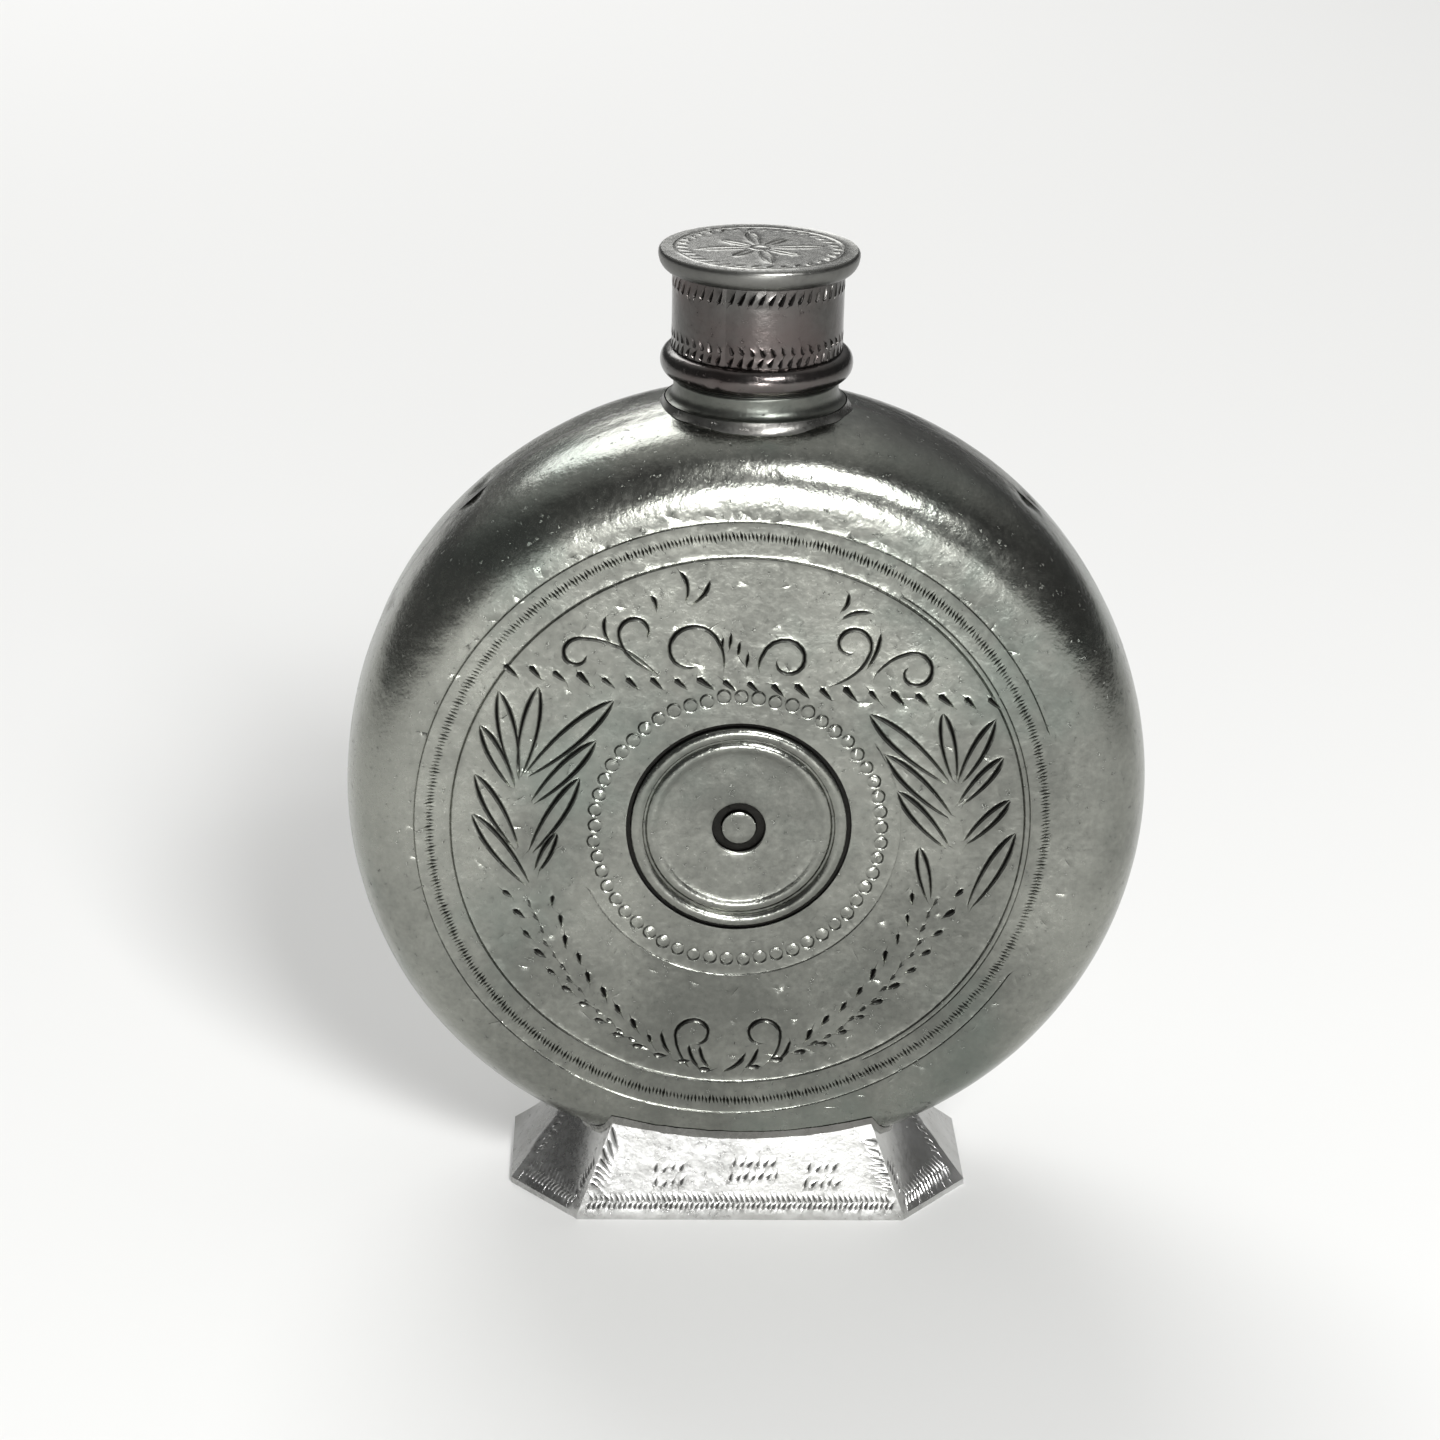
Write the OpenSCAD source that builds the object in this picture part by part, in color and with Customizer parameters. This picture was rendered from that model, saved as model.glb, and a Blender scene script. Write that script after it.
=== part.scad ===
// A pewter pilgrim flask: two turned shells soldered into a round flat body,
// a short threaded neck with a screw cap, and a hollow eight-sided foot.
// Millimetres. The origin is the middle of the foot's underside, +Z is up,
// +X is the right of the engraved face, and -Y is the engraved front.

/* [Body] */
// Outer radius of the round body
body_r = 57.5; // [54:0.5:60]
// Distance from the middle plane of the body to each flat face
body_half_t = 18.1; // [16:0.1:19]
// Radius at which the flat face starts to round over
face_r = 44.9; // [42:0.1:47]
// Fullness of the rounded shoulder, where 2 is an ellipse
shoulder_power = 2.93; // [2:0.01:3.5]
// Height of the body's centre above the ground
body_centre_z = 63.1; // [62:0.1:65]
// Thickness of the pewter shells
shell_wall = 1.6; // [1.2:0.1:2]
// Width of the solder line where the two shells meet
rim_solder_w = 1.4; // [1:0.1:2]
// Depth of the solder line
rim_solder_depth = 0.8; // [0.5:0.1:1]

/* [Medallion] */
// Outer radius of the turned disc on each face
medallion_r = 15.3; // [13:0.1:17]
// Gap round the disc in its recess
medallion_gap = 0.55; // [0.3:0.05:0.8]
// Depth of the recess that the disc sits in
recess_depth = 0.8; // [0.5:0.1:1]
// Height of the disc's rounded border above the face
border_rise = 0.7; // [0.4:0.1:1]
// Width of the rounded border
border_w = 1.8; // [1.4:0.1:2.2]
// Radius of the well in the middle of the disc
well_r = 3.7; // [3.4:0.1:4.5]
// Radius of the plug that closes the turning hole
plug_r = 2.5; // [2:0.1:2.8]
// Radius of the plug's head inside the body
plug_head_r = 4.2; // [3.5:0.1:5]
// Thickness of the plug's head inside the body
plug_head_t = 0.8; // [0.5:0.1:1.2]
// How far the disc lies left of the body's axis, seen from its own side
medallion_left = 1.6; // [0:0.1:2.5]
// How far the disc lies below the body's centre
medallion_drop = 0.5; // [0:0.1:1.5]

/* [Neck] */
// Outer radius of the neck tube at the root of its thread
neck_r = 8.9; // [8.6:0.1:9]
// Radius of the bore that the flask is filled and poured through
neck_bore_r = 7.3; // [6.8:0.1:7.5]
// Height of the mouth above the body's centre
mouth_up = 74.9; // [74.5:0.1:75]
// Height of the lower end of the neck tube above the body's centre
neck_foot_up = 52; // [50:0.5:54]
// Radius of the collar at the foot of the neck
collar_r = 12.1; // [11.5:0.1:12.6]
// Radius that the collar flares to on the body
collar_flare_r = 12.7; // [12.5:0.1:13]
// Height of the collar's top above the body's centre
collar_top_up = 60.1; // [59.8:0.1:60.1]
// Radius of the solder that runs round the collar
neck_solder_r = 13.9; // [13.8:0.1:14.4]

/* [Screw thread] */
// Rise of the thread in one full turn
thread_pitch = 4; // [3.6:0.1:4.2]
// Height of a thread ridge above its root
thread_depth = 0.8; // [0.7:0.05:0.85]
// Width of a thread ridge at its root
ridge_root_w = 1.9; // [1.6:0.1:2]
// Width of a thread ridge at its crest
ridge_crest_w = 0.9; // [0.6:0.1:1]
// Gap between the two threads, measured up and down
ridge_gap = 0.3; // [0.2:0.05:0.35]
// Height of the lower end of the neck's thread above the body's centre
neck_thread_up = 63; // [62.8:0.1:63.4]
// Number of turns of the thread on the neck
neck_turns = 2.5; // [2:0.1:2.6]
// Number of turns of the thread in the cap
cap_turns = 1.5; // [1:0.1:1.8]
// Inner radius of the cap's threaded liner
liner_bore_r = 10.05; // [10:0.05:10.1]

/* [Cap] */
// Height of the cap's lower edge above the body's centre
cap_foot_up = 60.4; // [60.4:0.1:60.6]
// Height of the cap's upper face above the body's centre
cap_top_up = 78.1; // [77.5:0.1:79]
// Outer radius of the cap's wall
barrel_r = 11.85; // [11.6:0.05:12.2]
// Thickness of the rolled sheet that makes the cap's wall
barrel_t = 0.9; // [0.7:0.05:1]
// Height of the lower edge of the cap's top plate above the body's centre
plate_foot_up = 73.9; // [73.6:0.1:74.2]
// Outer radius of the cap's top plate
plate_r = 13.85; // [13.4:0.05:14.4]
// Thickness of the cap's top plate over the mouth
plate_t = 2; // [1.6:0.1:2.2]
// Height of the rounded ring at the cap's lower edge
bead_h = 3.8; // [3:0.1:4.2]
// How far the rounded ring stands out from the cap's wall
bead_out = 1.55; // [1.2:0.05:1.8]
// Outer radius of the leather washer in the cap
washer_r = 9.7; // [9.4:0.1:9.7]
// Radius of the hole in the washer
washer_hole_r = 6.8; // [6.6:0.1:7]

/* [Foot] */
// Half the length of the foot's front and back edges at the ground
foot_front_half = 24; // [22:0.5:26]
// Half the depth of the foot at the ground
foot_half_depth = 19.7; // [19:0.1:21]
// Half the width of the foot at the ground
foot_half_width = 34; // [32:0.5:36]
// Half the length of the foot's side edges at the ground
foot_side_half = 9.1; // [8.5:0.1:10]
// Height of the upright lip along the foot's lower edge
foot_lip_h = 0.9; // [0.5:0.1:1.2]
// How far the front corners draw in for each millimetre of height
front_corner_slope = 0.336; // [0.3:0.01:0.4]
// How far the front panel leans back for each millimetre of height
front_panel_slope = 0.154; // [0.12:0.01:0.2]
// How far the side panels lean in for each millimetre of height
side_panel_slope = 0.84; // [0.78:0.01:0.88]
// How far the side panels narrow for each millimetre of height
side_corner_slope = 0.72; // [0.68:0.01:0.78]
// Thickness of the foot's wall
foot_wall = 1.5; // [1.2:0.1:1.8]
// Size of the solder fillet between the foot and the body
foot_solder_w = 0.8; // [0.5:0.1:1]

/* [Hidden] */
$fn = 144;

pewter = [0.56, 0.56, 0.53];
pewter_dark = [0.45, 0.45, 0.43];
solder = [0.68, 0.68, 0.65];
leather = [0.36, 0.24, 0.15];

// Small gap between flat faces that only touch
touch_gap = 0.05;
// How far a cutting solid runs past the solid that it cuts
cut_over = 1;
// How far a thread ridge runs into the wall that carries it, before it is trimmed
ridge_root_sink = 0.3;
// Number of straight steps in one quarter of the body's rounded profile
shoulder_steps = 16;
// Number of straight steps in one turn of a thread
ridge_steps = 36;
// Share of a turn over which a thread ridge grows to its full height
ridge_runout = 0.12;
// Share of its full height that a thread ridge has at its very end
ridge_end_share = 0.15;
// Number of steps in the cove and the round of a small turned profile
small_steps = 8;

// Height of the disc's flat middle above the body's face
disc_flat_rise = 0.1;
// How far below the body's highest point the collar's flare meets its solder
collar_seam_drop = 0.5;
// Half the width that is left of the foot's side panels where they run out
foot_side_end_half = 0.05;

recess_r = medallion_r + medallion_gap;
recess_floor = body_half_t - recess_depth;
shell_inside_t = body_half_t - shell_wall;
washer_top_up = cap_top_up - plate_t - touch_gap;
washer_foot_up = mouth_up + touch_gap;
liner_r = barrel_r - barrel_t;
foot_tip_z = foot_side_half / side_corner_slope;
// Height at which the foot's block ends, well inside the body
foot_block_h = 17;
// Height above the body's centre at which the collar's blank starts, before it is
// cut to the curve of the body
collar_foot_up = 53;
// Thickness of the plans that the foot's block is stretched between
slab_h = 0.01;
// How far the neck's hole reaches below and above the rim of the body
neck_hole_reach = 6;

// One point on the body's rounded profile: distance from the body's axis and
// distance from its middle plane, for a turn t from the face to the rim
function shoulder_point(t, r, half_t) =
    [face_r + (r - face_r) * pow(sin(t), 2 / shoulder_power),
        half_t * pow(cos(t), 2 / shoulder_power)];

// The rounded profile from the flat face to the turn t_end
function shoulder(r, half_t, t_end) =
    [for (i = [0:shoulder_steps]) shoulder_point(t_end * i / shoulder_steps, r, half_t)];

// The turn at which the rounded profile meets the groove of the solder line
rim_turn = acos(pow(rim_solder_w / 2 / body_half_t, shoulder_power / 2));

function reversed(list) = [for (i = [len(list) - 1:-1:0]) list[i]];

// Points on a quarter ellipse from angle a to angle b
function arc_points(centre, size, a, b) =
    [for (i = [0:small_steps])
        let (t = a + (b - a) * i / small_steps)
        [centre[0] + size[0] * cos(t), centre[1] + size[1] * sin(t)]];

// The body's solid shape without its hollow, grown by a margin
module body_block(grow = 0) {
    outline = shoulder(body_r + grow, body_half_t + grow, 90);
    other_side = [for (p = reversed(outline)) [p[0], -p[1]]];
    translate([0, 0, body_centre_z])
        rotate([90, 0, 0])
            rotate_extrude()
                polygon(concat([[0, -body_half_t - grow]], [[0, body_half_t + grow]],
                    outline, other_side));
}

// The recess that the medallion sits in, and the hole that its plug closes
module medallion_seat() {
    at_medallion() {
        translate([0, 0, recess_floor])
            cylinder(r = recess_r, h = recess_depth + cut_over);
        translate([0, 0, shell_inside_t - cut_over])
            cylinder(r = plug_r, h = shell_wall + 2 * cut_over);
    }
}

// Moves what is drawn along +Z to the medallion's axis, pointing out of the face
module at_medallion() {
    translate([-medallion_left, 0, body_centre_z - medallion_drop])
        rotate([90, 0, 0])
            children();
}

// One half of the body, with the face towards -Y: a turned shell with a recess
// for the medallion, a hole for its plug and half of the neck's hole
module half_shell() {
    outside = shoulder(body_r, body_half_t, rim_turn);
    inside = reversed(shoulder(body_r - shell_wall, shell_inside_t, 90));
    color(pewter)
        difference() {
            translate([0, 0, body_centre_z])
                rotate([90, 0, 0])
                    rotate_extrude()
                        polygon(concat([[0, shell_inside_t], [0, body_half_t]], outside,
                            [[body_r - rim_solder_depth, 0]], inside));
            medallion_seat();
            neck_hole();
        }
}

// The hole that the neck tube passes through
module neck_hole() {
    translate([0, 0, body_centre_z + body_r - neck_hole_reach])
        cylinder(r = neck_r, h = 2 * neck_hole_reach);
}

module front_shell() {
    half_shell();
}

module rear_shell() {
    rotate([0, 0, 180])
        half_shell();
}

// Solder in the groove between the two shells
module rim_solder() {
    edge = shoulder_point(rim_turn, body_r, body_half_t);
    color(solder)
        difference() {
            translate([0, 0, body_centre_z])
                rotate([90, 0, 0])
                    rotate_extrude()
                        polygon([[body_r - rim_solder_depth, 0], edge, [edge[0], -edge[1]]]);
            neck_hole();
        }
}

// Turned disc with a rounded border, a groove, a sloping band and a well
module medallion() {
    groove_w = 0.2;
    groove_depth = 0.1;
    groove_side_w = 0.3;
    band_w = 1.9;
    band_rise = 0.35;
    step_w = 0.2;
    border_mid = medallion_r - border_w / 2;
    groove_r = medallion_r - border_w - groove_w;
    step_r = groove_r - band_w;
    flat_t = body_half_t + disc_flat_rise;
    band_t = body_half_t + band_rise;
    border = arc_points([border_mid, body_half_t], [border_w / 2, border_rise], 0, 180);
    color(pewter)
        at_medallion()
            rotate_extrude()
                polygon(concat([[well_r, recess_floor], [medallion_r, recess_floor]], border,
                    [[groove_r, body_half_t - groove_depth],
                        [groove_r - groove_side_w, body_half_t],
                        [step_r + step_w, band_t], [step_r, flat_t], [well_r, flat_t]]));
}

module front_medallion() {
    medallion();
}

module rear_medallion() {
    rotate([0, 0, 180])
        medallion();
}

// Plug in the hole left by the turning spindle, with its head inside the body
module centre_plug() {
    shank_t = plug_head_t + shell_wall + disc_flat_rise;
    color(pewter_dark)
        at_medallion()
            translate([0, 0, shell_inside_t - plug_head_t])
                union() {
                    cylinder(r = plug_head_r, h = plug_head_t);
                    cylinder(r = plug_r, h = shank_t);
                }
}

module front_plug() {
    centre_plug();
}

module rear_plug() {
    rotate([0, 0, 180])
        centre_plug();
}

// A ridge that climbs round the Z axis by the right-hand rule, from the
// height start_up above the body's centre. It stands out from a wall of
// radius wall_r where out is 1, and stands in from it where out is -1
module ridge(wall_r, out, start_up, turns) {
    steps = round(turns * ridge_steps);
    runout_steps = ridge_runout * ridge_steps;
    root = wall_r - out * ridge_root_sink;
    sides = 4;
    points = [for (i = [0:steps])
        let (turn = 360 * i / ridge_steps,
            up = start_up + thread_pitch * i / ridge_steps,
            grown = min(1, ridge_end_share + min(i, steps - i) / runout_steps),
            crest = wall_r + out * thread_depth * grown)
        each [
            [root * cos(turn), root * sin(turn), up - ridge_root_w / 2],
            [crest * cos(turn), crest * sin(turn), up - ridge_crest_w / 2],
            [crest * cos(turn), crest * sin(turn), up + ridge_crest_w / 2],
            [root * cos(turn), root * sin(turn), up + ridge_root_w / 2]]];
    side_faces = [for (i = [0:steps - 1], k = [0:sides - 1])
        let (a = sides * i + k, b = sides * i + (k + 1) % sides)
        each [[a, a + sides, b], [b, a + sides, b + sides]]];
    last = sides * steps;
    faces = concat(side_faces, [[0, 1, 2], [0, 2, 3]],
        [[last, last + 2, last + 1], [last, last + 3, last + 2]]);
    turned_faces = [for (f = faces) out > 0 ? f : reversed(f)];
    translate([0, 0, body_centre_z])
        polyhedron(points = points, faces = turned_faces);
}

// Height that two meshed ridges take up between their middles, where they
// come closest, which is at the crest of either one
function ridge_overlap_w() =
    let (root_gap = liner_bore_r - neck_r - thread_depth,
        root_to_crest = (ridge_root_w - ridge_crest_w) / 2)
    ridge_crest_w / 2 + ridge_root_w / 2 - root_to_crest * root_gap / thread_depth;

// Tube that the flask is filled and poured through
module neck_tube() {
    tube_h = mouth_up - neck_foot_up;
    color(pewter)
        translate([0, 0, body_centre_z + neck_foot_up])
            difference() {
                cylinder(r = neck_r, h = tube_h);
                translate([0, 0, -cut_over])
                    cylinder(r = neck_bore_r, h = tube_h + 2 * cut_over);
            }
}

// Screw thread on the neck tube
module neck_thread() {
    color(pewter)
        difference() {
            ridge(neck_r, 1, neck_thread_up, neck_turns);
            translate([0, 0, body_centre_z + neck_foot_up])
                cylinder(r = neck_r, h = mouth_up - neck_foot_up);
        }
}

// Flared collar between the neck and the body
module neck_collar() {
    round_h = 1.6;
    round_out = 0.5;
    waist_drop = 0.4;
    waist_out = 0.1;
    edge_r = collar_r - round_out;
    round_mid_up = collar_top_up - round_h / 2;
    waist_up = collar_top_up - round_h - waist_drop;
    collar_round = arc_points([edge_r, round_mid_up], [round_out, round_h / 2], 90, -90);
    color(pewter)
        difference() {
            translate([0, 0, body_centre_z])
                rotate_extrude()
                    polygon(concat([[neck_r, collar_foot_up], [neck_r, collar_top_up]],
                        collar_round,
                        [[edge_r + waist_out, waist_up],
                            [collar_flare_r, body_r - collar_seam_drop],
                            [collar_flare_r, collar_foot_up]]));
            body_block();
        }
}

// Solder that has run into the corner between the collar and the body
module neck_solder() {
    solder_w = neck_solder_r - collar_flare_r;
    solder_round_h = 1.2;
    top_up = body_r - collar_seam_drop;
    side_up = top_up - solder_round_h;
    top_round = arc_points([collar_flare_r, side_up], [solder_w, top_up - side_up], 90, 0);
    color(solder)
        difference() {
            translate([0, 0, body_centre_z])
                rotate_extrude()
                    polygon(concat([[collar_flare_r, collar_foot_up]], top_round,
                        [[neck_solder_r, collar_foot_up]]));
            body_block();
        }
}

// A plain sleeve as high as the cap's wall
module cap_sleeve(outer_r, inner_r) {
    sleeve_h = plate_foot_up - cap_foot_up;
    translate([0, 0, body_centre_z + cap_foot_up])
        difference() {
            cylinder(r = outer_r, h = sleeve_h);
            translate([0, 0, -cut_over])
                cylinder(r = inner_r, h = sleeve_h + 2 * cut_over);
        }
}

// Cap wall, rolled from sheet
module cap_barrel() {
    color(pewter)
        cap_sleeve(barrel_r, liner_r);
}

// Sleeve inside the cap wall, which carries the cap's thread
module cap_liner() {
    color(pewter_dark)
        cap_sleeve(liner_r, liner_bore_r);
}

// Screw thread in the cap: its ridge lies just below the neck's ridge
module cap_thread() {
    ridge_drop = ridge_overlap_w() + ridge_gap;
    color(pewter_dark)
        intersection() {
            translate([0, 0, -ridge_drop])
                ridge(liner_bore_r, -1, neck_thread_up, cap_turns);
            translate([0, 0, body_centre_z + cap_foot_up])
                cylinder(r = liner_bore_r, h = plate_foot_up - cap_foot_up);
        }
}

// Cap top with a rounded edge and a cove down to the wall
module cap_top_plate() {
    edge_drop = 0.7;
    edge_w = 0.5;
    rim_h = 1.5;
    rim_low_up = cap_top_up - rim_h;
    edge = arc_points([plate_r - edge_w, cap_top_up - edge_drop], [edge_w, edge_drop], 90, 0);
    cove = [for (i = [0:small_steps])
        let (t = 90 * i / small_steps)
        [barrel_r + (plate_r - barrel_r) * (1 - sin(t)),
            plate_foot_up + (rim_low_up - plate_foot_up) * cos(t)]];
    color(pewter)
        translate([0, 0, body_centre_z])
            rotate_extrude()
                polygon(concat([[0, cap_top_up - plate_t], [0, cap_top_up]], edge, cove,
                    [[liner_bore_r, plate_foot_up], [liner_bore_r, cap_top_up - plate_t]]));
}

// Rounded ring soldered round the cap's lower edge
module cap_bead_ring() {
    color(pewter)
        translate([0, 0, body_centre_z + cap_foot_up])
            rotate_extrude()
                polygon(arc_points([barrel_r, bead_h / 2], [bead_out, bead_h / 2], -90, 90));
}

// Leather washer that seals the mouth
module cap_washer() {
    color(leather)
        translate([0, 0, body_centre_z + washer_foot_up])
            difference() {
                cylinder(r = washer_r, h = washer_top_up - washer_foot_up);
                translate([0, 0, -cut_over])
                    cylinder(r = washer_hole_r, h = washer_top_up - washer_foot_up + 2 * cut_over);
            }
}

// Plan of the foot at a height above its lip
module foot_plan(up) {
    front = foot_front_half - front_corner_slope * up;
    deep = foot_half_depth - front_panel_slope * up;
    wide = foot_half_width - side_panel_slope * up;
    side = max(foot_side_end_half, foot_side_half - side_corner_slope * up);
    polygon([[front, -deep], [wide, -side], [wide, side], [front, deep],
        [-front, deep], [-wide, side], [-wide, -side], [-front, -deep]]);
}

// The foot's solid shape without its hollow, grown outwards by a margin
module foot_block(grow = 0, below = 0) {
    hull() {
        translate([0, 0, -below])
            linear_extrude(foot_lip_h + below)
                offset(delta = grow)
                    foot_plan(0);
        translate([0, 0, foot_tip_z])
            linear_extrude(slab_h)
                offset(delta = grow)
                    foot_plan(foot_tip_z);
        translate([0, 0, foot_block_h])
            linear_extrude(slab_h)
                offset(delta = grow)
                    foot_plan(foot_block_h);
    }
}

// Hollow eight-sided foot, cut to the curve of the body
module foot_skirt() {
    color(pewter)
        difference() {
            foot_block();
            foot_block(-foot_wall, cut_over);
            body_block();
        }
}

// Solder between the foot and the body
module foot_solder() {
    color(solder)
        difference() {
            intersection() {
                body_block(foot_solder_w);
                foot_block(foot_solder_w);
            }
            foot_block();
            body_block();
        }
}

front_shell();
rear_shell();
rim_solder();
front_medallion();
rear_medallion();
front_plug();
rear_plug();
neck_tube();
neck_thread();
neck_collar();
neck_solder();
cap_barrel();
cap_liner();
cap_thread();
cap_top_plate();
cap_bead_ring();
cap_washer();
foot_skirt();
foot_solder();
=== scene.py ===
"""A worn pewter pilgrim flask with an engraved face, a screw cap and an eight-sided foot."""

import logging
import math
from collections.abc import Callable, Iterable
from dataclasses import dataclass, field
from enum import Enum

import bmesh
import bpy
import numpy as np
from mathutils import Matrix, Vector, noise
from mathutils.geometry import delaunay_2d_cdt


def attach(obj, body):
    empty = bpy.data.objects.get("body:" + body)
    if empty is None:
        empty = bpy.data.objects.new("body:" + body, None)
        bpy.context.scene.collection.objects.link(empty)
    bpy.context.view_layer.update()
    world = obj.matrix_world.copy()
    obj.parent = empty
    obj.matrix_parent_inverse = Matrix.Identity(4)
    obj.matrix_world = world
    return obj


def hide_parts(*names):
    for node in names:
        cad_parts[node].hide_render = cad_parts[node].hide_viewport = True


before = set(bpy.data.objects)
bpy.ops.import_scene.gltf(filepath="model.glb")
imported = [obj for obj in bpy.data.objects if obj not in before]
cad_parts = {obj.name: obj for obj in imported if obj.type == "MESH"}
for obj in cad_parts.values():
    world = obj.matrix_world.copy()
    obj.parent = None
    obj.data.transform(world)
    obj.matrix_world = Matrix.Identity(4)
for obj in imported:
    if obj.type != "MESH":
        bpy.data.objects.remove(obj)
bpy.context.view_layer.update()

log = logging.getLogger("flask")

Point = tuple[float, float]
Point3 = tuple[float, float, float]
Colour = tuple[float, float, float]
Faces = list[tuple[int, ...]]
Place = Callable[[float, float], Point]
Wire = bpy.types.NodeSocket | float | tuple[float, ...]

MM = 0.001
# Height of the body's centre above the ground, in millimetres; pieces are drawn from there
BODY_CENTRE_Z = 63.1
# Height of the burr along a tapered cut, in millimetres
BURR = 0.035
# Number of the foot's panels; panel 0 is the front one
PANELS = 8


def smooth_step(x: float) -> float:
    """A value that eases from 0 to 1 as x goes from 0 to 1."""
    x = min(1.0, max(0.0, x))
    return x * x * (3.0 - 2.0 * x)


def bezier(a: Point, b: Point, c: Point, steps: int) -> list[Point]:
    """Points on the curve that leaves a towards b and comes to c.

    Args:
        a: first end.
        b: the point that the curve bends towards.
        c: second end.
        steps: number of straight steps.

    Returns:
        The points from a to c.
    """
    path = []
    for i in range(steps + 1):
        t = i / steps
        s = 1.0 - t
        path.append(tuple(s * s * a[k] + 2 * s * t * b[k] + t * t * c[k] for k in (0, 1)))
    return path


def arc(centre: Point, size: Point, turns: Iterable[float]) -> list[Point]:
    """Points on an ellipse, one for each angle in degrees."""
    return [(centre[0] + size[0] * math.cos(math.radians(a)),
             centre[1] + size[1] * math.sin(math.radians(a))) for a in turns]


def ring_path(centre: Point, radius: float, start: float, end: float, steps: int) -> list[Point]:
    """Points on an arc, from one angle to the other in degrees."""
    turns = (start + (end - start) * i / steps for i in range(steps + 1))
    return arc(centre, (radius, radius), turns)


def directions(count: int) -> list[Point]:
    """The cosine and sine of evenly spaced angles, once round."""
    turns = [2 * math.pi * i / count for i in range(count)]
    return [(math.cos(a), math.sin(a)) for a in turns]


def uneven(p: Point3, amount: float) -> float:
    """How far a worn, hand-worked surface lies below its true place at a point.

    Args:
        p: the point.
        amount: the mean depth.

    Returns:
        The depth.
    """
    slow = noise.noise(Vector(p) * 0.045)
    mid = noise.noise(Vector(p) * 0.16 + Vector((9.0, 2.0, 5.0)))
    quick = noise.noise(Vector(p) * 0.42 + Vector((3.0, 7.0, 1.0)))
    return amount * (1.0 + slow + 0.32 * mid + 0.10 * quick)


@dataclass(frozen=True)
class Curl:
    """A scroll: a spiral round a centre, with a tail that runs into its outer end."""

    centre: Point
    radii: Point
    turns: Point
    tail: Point
    steps: int = 16

    def path(self) -> list[Point]:
        """The scroll as points from the tail to the inner end.

        Returns:
            The points.
        """
        spiral = []
        for i in range(self.steps + 1):
            turn, r = (p[0] + (p[1] - p[0]) * i / self.steps for p in (self.turns, self.radii))
            spiral += arc(self.centre, (r, r), [turn])
        reach = 0.45 * math.dist(self.tail, spiral[0])
        step = math.dist(*spiral[:2])
        bend = tuple(a - (b - a) / step * reach for a, b in zip(*spiral[:2]))
        return bezier(self.tail, bend, spiral[0], 6)[:-1] + spiral


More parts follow.
